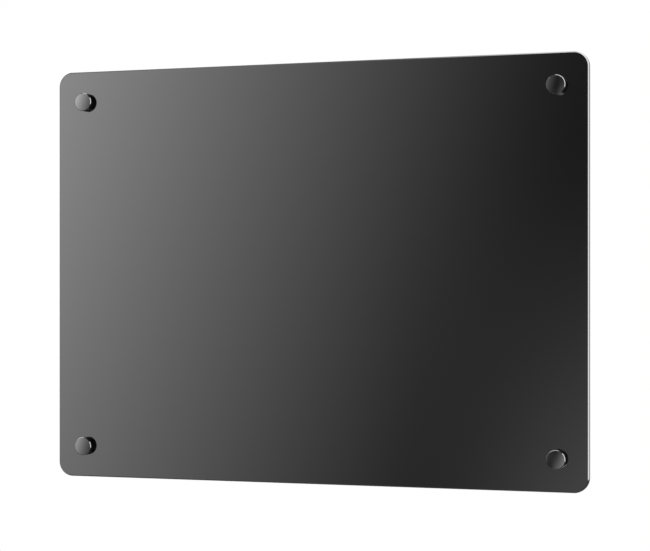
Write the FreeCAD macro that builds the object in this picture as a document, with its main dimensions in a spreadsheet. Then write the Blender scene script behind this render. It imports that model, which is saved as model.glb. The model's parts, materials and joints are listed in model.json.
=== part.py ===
import FreeCAD, Part
import math
import os

import Sketcher
from FreeCAD import Placement, Rotation, Vector

# Wall-hung convector heater with a glass front held by four standoff caps.
# X runs to the right of someone facing the glass, Y runs into the wall, Z is up.
# The origin is the centre of the four wall screws, on the wall itself.

# Driving dimensions, in millimetres, degrees or counts
SIZES = {
    # glass front
    "glass_width": 600,
    "glass_height": 450,
    "glass_thickness": 6,
    "glass_corner": 16,
    "glass_arris": 1.2,
    "glass_hole": 12,
    "fixing_inset_side": 33,
    "fixing_inset_end": 34,
    # standoff caps, their washers and the posts that they screw into
    "cap_diameter": 20,
    "cap_head": 7,
    "cap_dome": 0.3,
    "cap_edge": 0.6,
    "cap_stud": 6,
    "cap_grip": 11,
    "washer_diameter": 18,
    "washer_thickness": 1,
    "post_diameter": 14,
    "post_length": 12,
    "post_spigot": 10,
    "post_nut_flats": 15,
    "post_nut_height": 4,
    "spigot_end": 1,
    # fits
    "thread_gap": 0.05,
    "fit_gap": 0.2,
    "panel_gap": 0.3,
    # steel body
    "casing_margin": 20,
    "casing_depth": 50,
    "casing_corner": 14,
    "sheet_thickness": 1.2,
    "plate_thickness": 1.2,
    "flange_depth": 12,
    "flange_end": 45,
    "side_screw_end": 40,
    "screw_shank": 3.9,
    "screw_length": 8,
    "screw_head": 7,
    "screw_head_height": 2.2,
    # vents in the top and the bottom
    "vent_width": 5,
    "vent_length": 30,
    "vent_corner": 2,
    "vent_pitch": 10,
    "vent_start": 30,
    "vent_end": 20,
    # wall rails
    "wall_gap": 18,
    "screw_spacing_up": 260,
    "wall_screw_hole": 5.5,
    "rail_length": 290,
    "rail_end": 20,
    "rail_height": 30,
    "rail_corner": 5,
    "rail_thickness": 1.5,
    "hook_spacing": 160,
    "hook_width": 24,
    "hook_lip": 12,
    "hook_gap": 0.6,
    "hook_side_gap": 2,
    "window_height": 19,
    # rubber wall spacers
    "spacer_inset": 34,
    "spacer_base": 18,
    "spacer_tip": 14,
    "spacer_stem": 6,
    "spacer_stem_length": 4,
    # control fascia on the top
    "control_inset": 75,
    "fascia_length": 104,
    "fascia_width": 42,
    "fascia_thickness": 2.5,
    "fascia_corner": 5,
    "skirt_margin": 3.5,
    "skirt_wall": 2,
    "skirt_depth": 8,
    "snap_length": 20,
    "snap_height": 0.8,
    "snap_depth": 1.5,
    # room thermostat
    "thermostat_end": 26,
    "thermostat_length": 32,
    "thermostat_width": 27,
    "thermostat_height": 24,
    "bush_diameter": 10,
    "bush_height": 4.5,
    "bush_nut_flats": 14,
    "bush_nut_height": 2.2,
    "spindle_diameter": 6,
    "spindle_height": 12,
    "knob_diameter": 28,
    "knob_height": 14,
    "knob_crown": 3,
    "knob_edge": 1.2,
    "knob_lift": 0.8,
    "knob_recess": 18,
    "knob_recess_height": 5.5,
    "knob_rest": 45,
    "knob_flutes": 24,
    "flute_diameter": 2.4,
    "pointer_width": 1.6,
    "pointer_length": 9,
    "pointer_depth": 0.8,
    # rocker switch and pilot lamp
    "switch_end": 20,
    "switch_length": 19.2,
    "switch_width": 13,
    "switch_depth": 18,
    "bezel_rim": 1.3,
    "bezel_height": 2,
    "switch_wall": 1.1,
    "rocker_gap": 0.25,
    "rocker_rise": 2.4,
    "rocker_dip": 1.2,
    "rocker_drop": 3,
    "rocker_tilt": 10,
    "rocker_well": 6,
    "pivot_height": 1,
    "pivot_diameter": 2,
    "lamp_diameter": 8,
    "lamp_rim": 1.2,
    "lamp_stem": 16,
    "lamp_dome": 2.5,
    # heating element
    "element_margin": 80,
    "element_height": 60,
    "element_depth": 24,
    "element_arm": 3,
    "element_hub": 4.4,
    "element_drop": 70,
    "core_diameter": 5,
    "core_reach": 30,
    "bracket_gap": 4,
    "bracket_thickness": 1.2,
    "bracket_height": 44,
    "bracket_reach": 16,
    "bracket_foot": 16,
    "bush_outer": 13.6,
    "bush_flange": 18,
    "bush_flange_height": 3,
    "bush_length": 10,
    # heat shield behind the element, with the thermal cut-out on it
    "shield_gap": 8,
    "shield_thickness": 0.8,
    "shield_margin": 10,
    "shield_above": 110,
    "shield_below": 80,
    "shield_spacer": 8,
    "shield_spacer_inset": 20,
    "cutout_inset": 70,
    "cutout_up": 85,
    "cutout_diameter": 16,
    "cutout_height": 10,
    "strap_length": 38,
    "strap_width": 12,
    "strap_thickness": 0.8,
    "strap_screw_spacing": 28,
    # mains terminals, earth stud and cable gland
    "terminal_inset": 65,
    "terminal_rise": 40,
    "terminal_pitch": 11,
    "terminal_length": 36,
    "terminal_height": 20,
    "terminal_depth": 18,
    "terminal_screw": 4,
    "earth_offset": 37,
    "earth_diameter": 4,
    "earth_length": 14,
    "earth_nut_flats": 7,
    "earth_nut_height": 3.2,
    "gland_barrel": 15,
    "gland_bore": 9.4,
    "gland_flats": 19,
    "gland_flange": 4,
    "gland_barrel_length": 10,
    "gland_nut_height": 3.5,
    "dome_height": 10,
    "seal_bore": 7,
    "seal_length": 11,
    # spade tabs and wiring
    "tab_width": 4.8,
    "tab_thickness": 0.8,
    "tab_length": 8,
    "tab_spread": 4,
    "lead_diameter": 2.2,
    "lead_stub": 14,
    "lead_swing": 34,
    "lead_bow": 3,
}

doc = FreeCAD.newDocument("GlassPanelHeater")
dims = doc.addObject("Spreadsheet::Sheet", "dims")
for row, (alias, size) in enumerate(SIZES.items(), start=1):
    dims.set(f"A{row}", str(size))
    dims.setAlias(f"A{row}", alias)
doc.recompute()

# Places that several pieces share, as formulas on the driving dimensions
FIX_X = "(dims.glass_width / 2 - dims.fixing_inset_side)"
FIX_Z = "(dims.glass_height / 2 - dims.fixing_inset_end)"
CASE_X = "(dims.glass_width / 2 - dims.casing_margin)"
CASE_Z = "(dims.glass_height / 2 - dims.casing_margin)"
CASE_BACK = "(-dims.wall_gap)"
CASE_INNER = f"({CASE_BACK} - dims.sheet_thickness)"
CASE_MID = f"({CASE_BACK} - dims.casing_depth / 2)"
CASE_FRONT = f"({CASE_BACK} - dims.casing_depth)"
PLATE_FRONT = f"({CASE_FRONT} - dims.plate_thickness)"
POST_FRONT = f"({PLATE_FRONT} - dims.post_length)"
GLASS_BACK = f"({POST_FRONT} - dims.washer_thickness)"
GLASS_FRONT = f"({GLASS_BACK} - dims.glass_thickness)"
CAP_BASE = f"({GLASS_FRONT} - dims.washer_thickness)"
RAIL_Z = "(dims.screw_spacing_up / 2)"
HOOK_X = "(dims.hook_spacing / 2)"
SPACER_X = f"({CASE_X} - dims.spacer_inset)"
SPACER_Z = f"(-{CASE_Z} + dims.spacer_inset)"
CONTROL_X = f"({CASE_X} - dims.control_inset)"
VENT_ROW = f"({CONTROL_X} - dims.fascia_length / 2 - dims.vent_end + {CASE_X} - dims.vent_start)"
VENT_STEPS = f"floor({VENT_ROW} / dims.vent_pitch)"
FASCIA_TOP = f"({CASE_Z} + dims.fascia_thickness)"
THERMOSTAT_X = f"({CONTROL_X} - dims.fascia_length / 2 + dims.thermostat_end)"
SWITCH_X = f"({CONTROL_X} + dims.fascia_length / 2 - dims.switch_end)"
LAMP_LEFT = f"({THERMOSTAT_X} + dims.thermostat_length / 2)"
LAMP_RIGHT = f"({SWITCH_X} - dims.switch_length / 2 - dims.bezel_rim)"
LAMP_X = f"(({LAMP_LEFT} + {LAMP_RIGHT}) / 2)"
PIVOT_Z = f"({FASCIA_TOP} + dims.pivot_height)"
ELEMENT_Z = "(-dims.element_drop)"
ELEMENT_END = f"({CASE_X} - dims.element_margin)"
BRACKET_X = f"({ELEMENT_END} + dims.bracket_gap)"
CORE_END = f"({ELEMENT_END} + dims.core_reach)"
SHIELD_BACK = f"({CASE_INNER} - dims.shield_gap)"
SHIELD_FRONT = f"({SHIELD_BACK} - dims.shield_thickness)"
SHIELD_X = f"({ELEMENT_END} - dims.shield_margin)"
CUTOUT_X = f"({SHIELD_X} - dims.cutout_inset)"
CUTOUT_Z = f"({ELEMENT_Z} + dims.cutout_up)"
TERMINAL_X = f"({CASE_X} - dims.terminal_inset)"
TERMINAL_Z = f"(-{CASE_Z} + dims.terminal_rise)"
EARTH_X = f"({TERMINAL_X} + dims.earth_offset)"
SCREW_HOLE = "(dims.screw_shank / 2 + dims.fit_gap)"
STUD_HOLE = "(dims.cap_stud / 2 + dims.fit_gap)"
SIDE_SCREW_Y = f"({CASE_FRONT} + dims.flange_depth / 2)"

CORNERS = [("top_left", -1, 1), ("top_right", 1, 1), ("bottom_left", -1, -1), ("bottom_right", 1, -1)]
TURN = {
    "+X": Rotation(Vector(0, 1, 0), 90),
    "-X": Rotation(Vector(0, 1, 0), -90),
    "+Y": Rotation(Vector(1, 0, 0), -90),
    "-Y": Rotation(Vector(1, 0, 0), 90),
    "+Z": Rotation(),
    "-Z": Rotation(Vector(1, 0, 0), 180),
}
nodes = []


def number(formula):
    return float(dims.evalExpression(formula))


def bind(thing, formulas):
    for path, formula in formulas.items():
        thing.setExpression(path, formula)


def put(thing, x="0", y="0", z="0"):
    bind(thing, {"Placement.Base.x": x, "Placement.Base.y": y, "Placement.Base.z": z})
    return thing


def node(thing, label):
    thing.Label = label
    nodes.append(thing)
    return thing


# Part primitives, each bound to the sheet


def block(name, x, y, z, across, deep, tall):
    box = doc.addObject("Part::Box", name)
    bind(box, {"Length": across, "Width": deep, "Height": tall})
    return put(box, x, y, z)


def centred_block(name, x, y, z, across, deep, tall):
    return block(name, f"{x} - ({across}) / 2", f"{y} - ({deep}) / 2", z, across, deep, tall)


def rod(name, axis, x, y, z, radius, length):
    cylinder = doc.addObject("Part::Cylinder", name)
    cylinder.Placement = Placement(Vector(), TURN[axis])
    bind(cylinder, {"Radius": radius, "Height": length})
    return put(cylinder, x, y, z)


def taper(name, axis, x, y, z, start_radius, end_radius, length):
    cone = doc.addObject("Part::Cone", name)
    cone.Placement = Placement(Vector(), TURN[axis])
    bind(cone, {"Radius1": start_radius, "Radius2": end_radius, "Height": length})
    return put(cone, x, y, z)


def hexagon(name, axis, x, y, z, flats, height):
    prism = doc.addObject("Part::Prism", name)
    prism.Polygon = 6
    prism.Placement = Placement(Vector(), TURN[axis])
    bind(prism, {"Circumradius": f"({flats}) / 2 / cos(30)", "Height": height})
    return put(prism, x, y, z)


def cut(name, base, *tools):
    result = base
    for index, tool in enumerate(tools, start=1):
        step = doc.addObject("Part::Cut", f"{name}_cut{index}")
        step.Base = result
        step.Tool = tool
        result = step
    return result


def fuse(name, *pieces):
    joined = doc.addObject("Part::MultiFuse", f"{name}_fuse")
    joined.Shapes = list(pieces)
    joined.Refine = True
    return joined


def group(name, pieces):
    compound = doc.addObject("Part::Compound", f"{name}_group")
    compound.Links = pieces
    return compound


def tube(name, axis, x, y, z, outer, inner, length):
    body = rod(f"{name}_outer", axis, x, y, z, outer, length)
    bore = rod(f"{name}_bore", axis, x, y, z, inner, length)
    return cut(name, body, bore)


def nut(name, axis, x, y, z, flats, bore, height):
    body = hexagon(f"{name}_hex", axis, x, y, z, flats, height)
    hole = rod(f"{name}_hole", axis, x, y, z, bore, height)
    return cut(name, body, hole)


def pan_screw(name, axis, inward, x, y, z):
    head = rod(f"{name}_head", axis, x, y, z, "dims.screw_head / 2", "dims.screw_head_height")
    shank = rod(f"{name}_shank", inward, x, y, z, "dims.screw_shank / 2", "dims.screw_length")
    return fuse(name, head, shank)


# Sketches and bodies


def new_body(name, x="0", y="0", z="0"):
    return put(doc.addObject("PartDesign::Body", name), x, y, z)


def sketch_on(body, name, role, offset="0"):
    sketch = body.newObject("Sketcher::SketchObject", name)
    plane = next(f for f in body.Origin.OriginFeatures if f.Role == role)
    sketch.AttachmentSupport = [(plane, "")]
    sketch.MapMode = "FlatFace"
    sketch.setExpression("AttachmentOffset.Base.z", offset)
    return sketch


def drive(sketch, constraint, name, formula):
    index = sketch.addConstraint(constraint)
    sketch.renameConstraint(index, name)
    sketch.setExpression(f"Constraints.{name}", formula)


def pin_point(sketch, name, geometry, end, x, y):
    drive(sketch, Sketcher.Constraint("DistanceX", -1, 1, geometry, end, number(x)), f"{name}_x", x)
    drive(sketch, Sketcher.Constraint("DistanceY", -1, 1, geometry, end, number(y)), f"{name}_y", y)


def circle(sketch, name, radius, x="0", y="0"):
    shape = Part.Circle(Vector(number(x), number(y), 0), Vector(0, 0, 1), number(radius))
    index = sketch.addGeometry(shape)
    drive(sketch, Sketcher.Constraint("Radius", index, number(radius)), f"{name}_radius", radius)
    pin_point(sketch, name, index, 3, x, y)


def polygon(sketch, name, points):
    places = [Vector(number(x), number(y), 0) for x, y in points]
    first = sketch.GeometryCount
    for here, there in zip(places, places[1:] + places[:1]):
        sketch.addGeometry(Part.LineSegment(here, there))
    for index in range(len(points)):
        following = first + (index + 1) % len(points)
        sketch.addConstraint(Sketcher.Constraint("Coincident", first + index, 2, following, 1))
    for index, (x, y) in enumerate(points):
        pin_point(sketch, f"{name}_{index}", first + index, 1, x, y)


def rectangle(sketch, name, width, height, x="0", y="0"):
    left, right = f"{x} - ({width}) / 2", f"{x} + ({width}) / 2"
    low, high = f"{y} - ({height}) / 2", f"{y} + ({height}) / 2"
    polygon(sketch, name, [(left, low), (right, low), (right, high), (left, high)])


def rounded_rectangle(sketch, name, width, height, radius, x="0", y="0"):
    half_w, half_h, r = number(width) / 2, number(height) / 2, number(radius)
    middle = Vector(number(x), number(y), 0)
    first = sketch.GeometryCount
    for quarter, (sx, sy) in enumerate([(1, 1), (-1, 1), (-1, -1), (1, -1)]):
        centre = middle + Vector(sx * (half_w - r), sy * (half_h - r), 0)
        arc = Part.Circle(centre, Vector(0, 0, 1), r)
        sketch.addGeometry(Part.ArcOfCircle(arc, quarter * math.pi / 2, (quarter + 1) * math.pi / 2))
    for index in range(4):
        leaving = sketch.getPoint(first + index, 2)
        arriving = sketch.getPoint(first + (index + 1) % 4, 1)
        line = sketch.addGeometry(Part.LineSegment(leaving, arriving))
        sketch.addConstraint(Sketcher.Constraint("Tangent", first + index, 2, line, 1))
        sketch.addConstraint(Sketcher.Constraint("Tangent", line, 2, first + (index + 1) % 4, 1))
    for index in range(1, 4):
        sketch.addConstraint(Sketcher.Constraint("Equal", first, first + index))
    drive(sketch, Sketcher.Constraint("Radius", first, r), f"{name}_radius", radius)
    along, up = f"(({width}) / 2 - {radius})", f"(({height}) / 2 - {radius})"
    pin_point(sketch, f"{name}_high", first, 3, f"{x} + {along}", f"{y} + {up}")
    pin_point(sketch, f"{name}_low", first + 2, 3, f"{x} - {along}", f"{y} - {up}")
    for line, way in zip(range(first + 4, first + 8), ("Horizontal", "Vertical") * 2):
        sketch.addConstraint(Sketcher.Constraint(way, line))


def pad(body, sketch, name, length, reversed_way=False, both_ways=False):
    feature = body.newObject("PartDesign::Pad", name)
    feature.Profile = sketch
    feature.Reversed = reversed_way
    feature.Midplane = both_ways
    feature.setExpression("Length", length)
    doc.recompute()
    return feature


def pocket(body, sketch, name, length=None, reversed_way=False, both_ways=False):
    before = body.Shape.Volume
    feature = body.newObject("PartDesign::Pocket", name)
    feature.Profile = sketch
    feature.Reversed = reversed_way
    feature.Midplane = both_ways
    if length is None:
        feature.Type = "ThroughAll"
    else:
        feature.setExpression("Length", length)
    doc.recompute()
    if body.Shape.Volume > before - 1e-6:
        raise RuntimeError(f"{name} cuts nothing")
    return feature


def revolve(body, sketch, name):
    feature = body.newObject("PartDesign::Revolution", name)
    feature.Profile = sketch
    feature.ReferenceAxis = (sketch, ["V_Axis"])
    feature.Angle = 360
    doc.recompute()
    return feature


def soften(body, kind, name, base, chosen, size):
    names = [f"Edge{i}" for i, edge in enumerate(base.Shape.Edges, start=1) if chosen(edge)]
    feature = body.newObject(kind, name)
    feature.Base = (base, names)
    feature.setExpression("Radius" if kind.endswith("Fillet") else "Size", size)
    doc.recompute()
    return feature


def round_edge(radius, way, place):
    def chosen(edge):
        if edge.Degenerated or not isinstance(edge.Curve, Part.Circle):
            return False
        offset = getattr(edge.Curve.Center, way) - place
        return abs(edge.Curve.Radius - radius) < 1e-4 and abs(offset) < 1e-4

    return chosen


# Glass front


def make_glass():
    body = new_body("Glass", y=GLASS_BACK)
    outline = sketch_on(body, "GlassOutline", "XZ_Plane")
    rounded_rectangle(outline, "pane", "dims.glass_width", "dims.glass_height", "dims.glass_corner")
    for name, sx, sz in CORNERS:
        circle(outline, f"hole_{name}", "dims.glass_hole / 2", f"{sx} * {FIX_X}", f"{sz} * {FIX_Z}")
    pane = pad(body, outline, "GlassPane", "dims.glass_thickness")

    def on_the_rim(edge):
        ends = edge.Vertexes
        return len(ends) == 2 and abs(ends[0].Y - ends[1].Y) < 1e-6

    soften(body, "PartDesign::Chamfer", "GlassArris", pane, on_the_rim, "dims.glass_arris")
    node(body, "glass_panel")


# Standoff caps with their washers, sleeves, posts and nuts


def make_cap(name, x, z):
    body = new_body(f"Cap_{name}", x, CAP_BASE, z)
    profile = sketch_on(body, f"CapProfile_{name}", "XY_Plane")
    radius, dome = "dims.cap_diameter / 2", "(dims.cap_head - dims.cap_dome)"
    stud_end = "(dims.washer_thickness * 2 + dims.glass_thickness + dims.cap_grip)"
    points = [
        ("0", f"-{dome} - dims.cap_dome"),
        ("0", stud_end),
        ("dims.cap_stud / 2", stud_end),
        ("dims.cap_stud / 2", "0"),
        (radius, "0"),
        (radius, f"-{dome}"),
    ]
    places = [Vector(number(u), number(v), 0) for u, v in points]
    for here, there in zip(places, places[1:]):
        profile.addGeometry(Part.LineSegment(here, there))
    for index in range(4):
        profile.addConstraint(Sketcher.Constraint("Coincident", index, 2, index + 1, 1))
    for index, (u, v) in enumerate(points[:5]):
        pin_point(profile, f"turn_{index}", index, 1, u, v)
    pin_point(profile, "turn_5", 4, 2, *points[5])
    rise, half = number("dims.cap_dome"), number(radius)
    bend = (half**2 + rise**2) / (2 * rise)
    centre = Vector(0, places[0].y + bend, 0)
    reach = math.asin(half / bend)
    crown = Part.ArcOfCircle(
        Part.Circle(centre, Vector(0, 0, 1), bend), -math.pi / 2, -math.pi / 2 + reach
    )
    arc = profile.addGeometry(crown)
    profile.addConstraint(Sketcher.Constraint("Coincident", arc, 1, 0, 1))
    profile.addConstraint(Sketcher.Constraint("Coincident", arc, 2, 4, 2))
    profile.addConstraint(Sketcher.Constraint("PointOnObject", arc, 3, -2))
    turned = revolve(body, profile, f"CapTurned_{name}")
    rim = round_edge(half, "y", places[5].y)
    soften(body, "PartDesign::Chamfer", f"CapEdge_{name}", turned, rim, "dims.cap_edge")
    node(body, f"cap_{name}")


def make_fixings():
    sleeves, rear_washers, posts, nuts = [], [], [], []
    for name, sx, sz in CORNERS:
        x, z = f"{sx} * {FIX_X}", f"{sz} * {FIX_Z}"
        make_cap(name, x, z)
        front = tube(f"front_washer_{name}", "-Y", x, GLASS_FRONT, z,
                     "dims.washer_diameter / 2", STUD_HOLE, "dims.washer_thickness")
        node(front, f"cap_washer_{name}")
        sleeves.append(tube(f"sleeve_{name}", "-Y", x, GLASS_BACK, z,
                            "dims.glass_hole / 2 - dims.fit_gap", STUD_HOLE, "dims.glass_thickness"))
        rear_washers.append(tube(f"rear_washer_{name}", "-Y", x, POST_FRONT, z,
                                 "dims.post_diameter / 2", STUD_HOLE, "dims.washer_thickness"))
        posts.append(make_post(name, x, z))
        nuts.append(nut(f"post_nut_{name}", "+Y", x, CASE_FRONT, z, "dims.post_nut_flats",
                        "dims.post_spigot / 2 + dims.thread_gap", "dims.post_nut_height"))
    node(group("sleeves", sleeves), "glass_sleeves")
    node(group("rear_washers", rear_washers), "rear_washers")
    node(group("posts", posts), "standoff_posts")
    node(group("post_nuts", nuts), "post_nuts")


def make_post(name, x, z):
    spigot_length = "(dims.plate_thickness + dims.post_nut_height + dims.spigot_end)"
    barrel = rod(f"barrel_{name}", "+Y", x, POST_FRONT, z, "dims.post_diameter / 2", "dims.post_length")
    spigot = rod(f"spigot_{name}", "+Y", x, PLATE_FRONT, z, "dims.post_spigot / 2", spigot_length)
    bore = rod(f"thread_{name}", "+Y", x, POST_FRONT, z, "dims.cap_stud / 2 + dims.thread_gap",
               f"dims.post_length + {spigot_length}")
    return cut(f"post_{name}", fuse(f"post_{name}", barrel, spigot), bore)


# Steel body: a deep rear casing closed by a flat front plate


def side_screw_rows():
    reach = f"({CASE_Z} - dims.flange_end - dims.side_screw_end)"
    return [f"{step} * {reach}" for step in (-1, 0, 1)]


def make_front_plate():
    body = new_body("FrontPlate", y=CASE_FRONT)
    outline = sketch_on(body, "PlateOutline", "XZ_Plane")
    rounded_rectangle(outline, "plate", f"2 * {CASE_X}", f"2 * {CASE_Z}", "dims.casing_corner")
    for name, sx, sz in CORNERS:
        circle(outline, f"hole_{name}", "dims.post_spigot / 2 + dims.thread_gap",
               f"{sx} * {FIX_X}", f"{sz} * {FIX_Z}")
    pad(body, outline, "PlateSheet", "dims.plate_thickness")
    flange_x = f"({CASE_X} - dims.sheet_thickness - dims.panel_gap - dims.plate_thickness / 2)"
    flange_height = f"2 * ({CASE_Z} - dims.flange_end)"
    flanges = sketch_on(body, "PlateFlanges", "XZ_Plane")
    for side, sx in (("left", -1), ("right", 1)):
        rectangle(flanges, side, "dims.plate_thickness", flange_height, f"{sx} * {flange_x}")
    pad(body, flanges, "PlateReturns", "dims.flange_depth", reversed_way=True)
    holes = sketch_on(body, "PlateScrewHoles", "YZ_Plane")
    for index, z in enumerate(side_screw_rows()):
        circle(holes, f"screw_{index}", SCREW_HOLE, "dims.flange_depth / 2", z)
    pocket(body, holes, "PlateScrewCut", both_ways=True)
    node(body, "front_plate")


def make_casing():
    body = new_body("RearCasing", y=CASE_BACK)
    outline = sketch_on(body, "CasingOutline", "XZ_Plane")
    rounded_rectangle(outline, "outer", f"2 * {CASE_X}", f"2 * {CASE_Z}", "dims.casing_corner")
    pad(body, outline, "CasingBlock", "dims.casing_depth")
    inside = sketch_on(body, "CasingInside", "XZ_Plane", "dims.sheet_thickness")
    rounded_rectangle(inside, "inner", f"2 * ({CASE_X} - dims.sheet_thickness)",
                      f"2 * ({CASE_Z} - dims.sheet_thickness)",
                      "(dims.casing_corner - dims.sheet_thickness)")
    pocket(body, inside, "CasingHollow", reversed_way=True)
    openings = sketch_on(body, "CasingBackOpenings", "XZ_Plane")
    for level, sz in (("upper", 1), ("lower", -1)):
        top = f"({sz} * {RAIL_Z} + dims.rail_height / 2)"
        for side, sx in (("left", -1), ("right", 1)):
            rectangle(openings, f"window_{level}_{side}", "dims.hook_width + 2 * dims.hook_side_gap",
                      "dims.window_height", f"{sx} * {HOOK_X}", f"({top} - dims.window_height / 2)")
    for side, sx in (("left", -1), ("right", 1)):
        circle(openings, f"stem_{side}", "dims.spacer_stem / 2 + dims.fit_gap",
               f"{sx} * {SPACER_X}", SPACER_Z)
    pocket(body, openings, "CasingBackCut", "2 * dims.sheet_thickness", reversed_way=True)
    middle = "(-dims.casing_depth / 2)"
    side_holes = sketch_on(body, "CasingScrewHoles", "YZ_Plane")
    for index, z in enumerate(side_screw_rows()):
        circle(side_holes, f"screw_{index}", SCREW_HOLE, "(dims.flange_depth / 2 - dims.casing_depth)", z)
    pocket(body, side_holes, "CasingScrewCut", both_ways=True)
    top_opening = sketch_on(body, "CasingTopOpening", "XY_Plane", CASE_Z)
    rectangle(top_opening, "control", "dims.fascia_length - 2 * dims.skirt_margin + 2 * dims.panel_gap",
              "dims.fascia_width - 2 * dims.skirt_margin + 2 * dims.panel_gap", CONTROL_X, middle)
    pocket(body, top_opening, "CasingTopCut", "2 * dims.sheet_thickness")
    gland_hole = sketch_on(body, "CasingGlandHole", "XY_Plane", f"-{CASE_Z}")
    circle(gland_hole, "gland", "dims.gland_barrel / 2 + dims.fit_gap", TERMINAL_X, middle)
    pocket(body, gland_hole, "CasingGlandCut", "2 * dims.sheet_thickness", reversed_way=True)
    vent = sketch_on(body, "CasingVent", "XY_Plane", CASE_Z)
    rounded_rectangle(vent, "vent", "dims.vent_width", "dims.vent_length", "dims.vent_corner",
                      f"(-{CASE_X} + dims.vent_start)", middle)
    first_vent = pocket(body, vent, "CasingVentCut")
    row = body.newObject("PartDesign::LinearPattern", "CasingVentRow")
    row.Originals = [first_vent]
    row.Direction = (vent, ["H_Axis"])
    bind(row, {"Length": f"dims.vent_pitch * {VENT_STEPS}", "Occurrences": f"{VENT_STEPS} + 1"})
    body.Tip = row
    doc.recompute()
    node(body, "rear_casing")


def make_plate_screws():
    screws = []
    for side, sx, outward, inward in (("left", -1, "-X", "+X"), ("right", 1, "+X", "-X")):
        for index, z in enumerate(side_screw_rows()):
            screws.append(pan_screw(f"side_screw_{side}_{index}", outward, inward,
                                    f"{sx} * {CASE_X}", SIDE_SCREW_Y, z))
    node(group("plate_screws", screws), "plate_screws")


# What holds the heater on the wall


def make_rail(level, sz):
    body = new_body(f"Rail_{level}", z=f"{sz} * {RAIL_Z}")
    strip = sketch_on(body, f"RailStrip_{level}", "XZ_Plane")
    rounded_rectangle(strip, "strip", "dims.rail_length", "dims.rail_height", "dims.rail_corner")
    for side, sx in (("left", -1), ("right", 1)):
        circle(strip, f"screw_{side}", "dims.wall_screw_hole / 2",
               f"{sx} * (dims.rail_length / 2 - dims.rail_end)")
    pad(body, strip, f"RailSheet_{level}", "dims.rail_thickness")
    leg_height = "(dims.rail_height / 2 - dims.rail_thickness / 2)"
    legs = sketch_on(body, f"RailLegs_{level}", "XZ_Plane")
    for side, sx in (("left", -1), ("right", 1)):
        rectangle(legs, side, "dims.hook_width", "dims.rail_thickness", f"{sx} * {HOOK_X}", leg_height)
    lip_y = "(dims.wall_gap + dims.sheet_thickness + dims.hook_gap)"
    pad(body, legs, f"RailLegsBent_{level}", f"{lip_y} + dims.rail_thickness")
    lips = sketch_on(body, f"RailLips_{level}", "XZ_Plane", lip_y)
    lip_height = "(dims.hook_lip + dims.rail_thickness)"
    lip_middle = f"(dims.rail_height / 2 - dims.rail_thickness + {lip_height} / 2)"
    for side, sx in (("left", -1), ("right", 1)):
        rectangle(lips, side, "dims.hook_width", lip_height, f"{sx} * {HOOK_X}", lip_middle)
    pad(body, lips, f"RailLipsBent_{level}", "dims.rail_thickness")
    node(body, f"{level}_wall_rail")


def make_spacers():
    spacers = []
    for side, sx in (("left", -1), ("right", 1)):
        x = f"{sx} * {SPACER_X}"
        foot = taper(f"spacer_foot_{side}", "+Y", x, CASE_BACK, SPACER_Z,
                     "dims.spacer_base / 2", "dims.spacer_tip / 2", "dims.wall_gap")
        stem = rod(f"spacer_stem_{side}", "-Y", x, CASE_BACK, SPACER_Z,
                   "dims.spacer_stem / 2", "dims.spacer_stem_length")
        spacers.append(fuse(f"spacer_{side}", foot, stem))
    node(group("wall_spacers", spacers), "wall_spacers")


# Controls on the top of the casing


def make_fascia():
    body = new_body("Fascia", CONTROL_X, CASE_MID, CASE_Z)
    outline = sketch_on(body, "FasciaOutline", "XY_Plane")
    rounded_rectangle(outline, "fascia", "dims.fascia_length", "dims.fascia_width", "dims.fascia_corner")
    plate = pad(body, outline, "FasciaPlate", "dims.fascia_thickness")
    top = number("dims.fascia_thickness")

    def on_top(edge):
        return all(abs(v.Z - top) < 1e-6 for v in edge.Vertexes)

    soften(body, "PartDesign::Fillet", "FasciaEdge", plate, on_top, "dims.fascia_thickness / 3")
    skirt = sketch_on(body, "FasciaSkirt", "XY_Plane")
    length = "(dims.fascia_length - 2 * dims.skirt_margin)"
    width = "(dims.fascia_width - 2 * dims.skirt_margin)"
    rectangle(skirt, "outer", length, width)
    rectangle(skirt, "inner", f"{length} - 2 * dims.skirt_wall", f"{width} - 2 * dims.skirt_wall")
    pad(body, skirt, "FasciaSkirtWall", "dims.skirt_depth", reversed_way=True)
    ridges = sketch_on(body, "FasciaSnapRidges", "XY_Plane", "-dims.sheet_thickness - dims.panel_gap")
    for side, sy in (("front", -1), ("rear", 1)):
        rectangle(ridges, side, "dims.snap_length", "dims.snap_height",
                  "0", f"{sy} * ({width} + dims.snap_height) / 2")
    pad(body, ridges, "FasciaSnaps", "dims.snap_depth", reversed_way=True)
    holes = sketch_on(body, "FasciaHoles", "XY_Plane")
    circle(holes, "bush", "dims.bush_diameter / 2 + dims.fit_gap", f"{THERMOSTAT_X} - {CONTROL_X}")
    circle(holes, "lamp", "dims.lamp_diameter / 2 + dims.fit_gap", f"{LAMP_X} - {CONTROL_X}")
    rectangle(holes, "switch", "dims.switch_length + 2 * dims.fit_gap",
              "dims.switch_width + 2 * dims.fit_gap", f"{SWITCH_X} - {CONTROL_X}")
    pocket(body, holes, "FasciaCut", reversed_way=True)
    node(body, "control_fascia")


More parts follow.
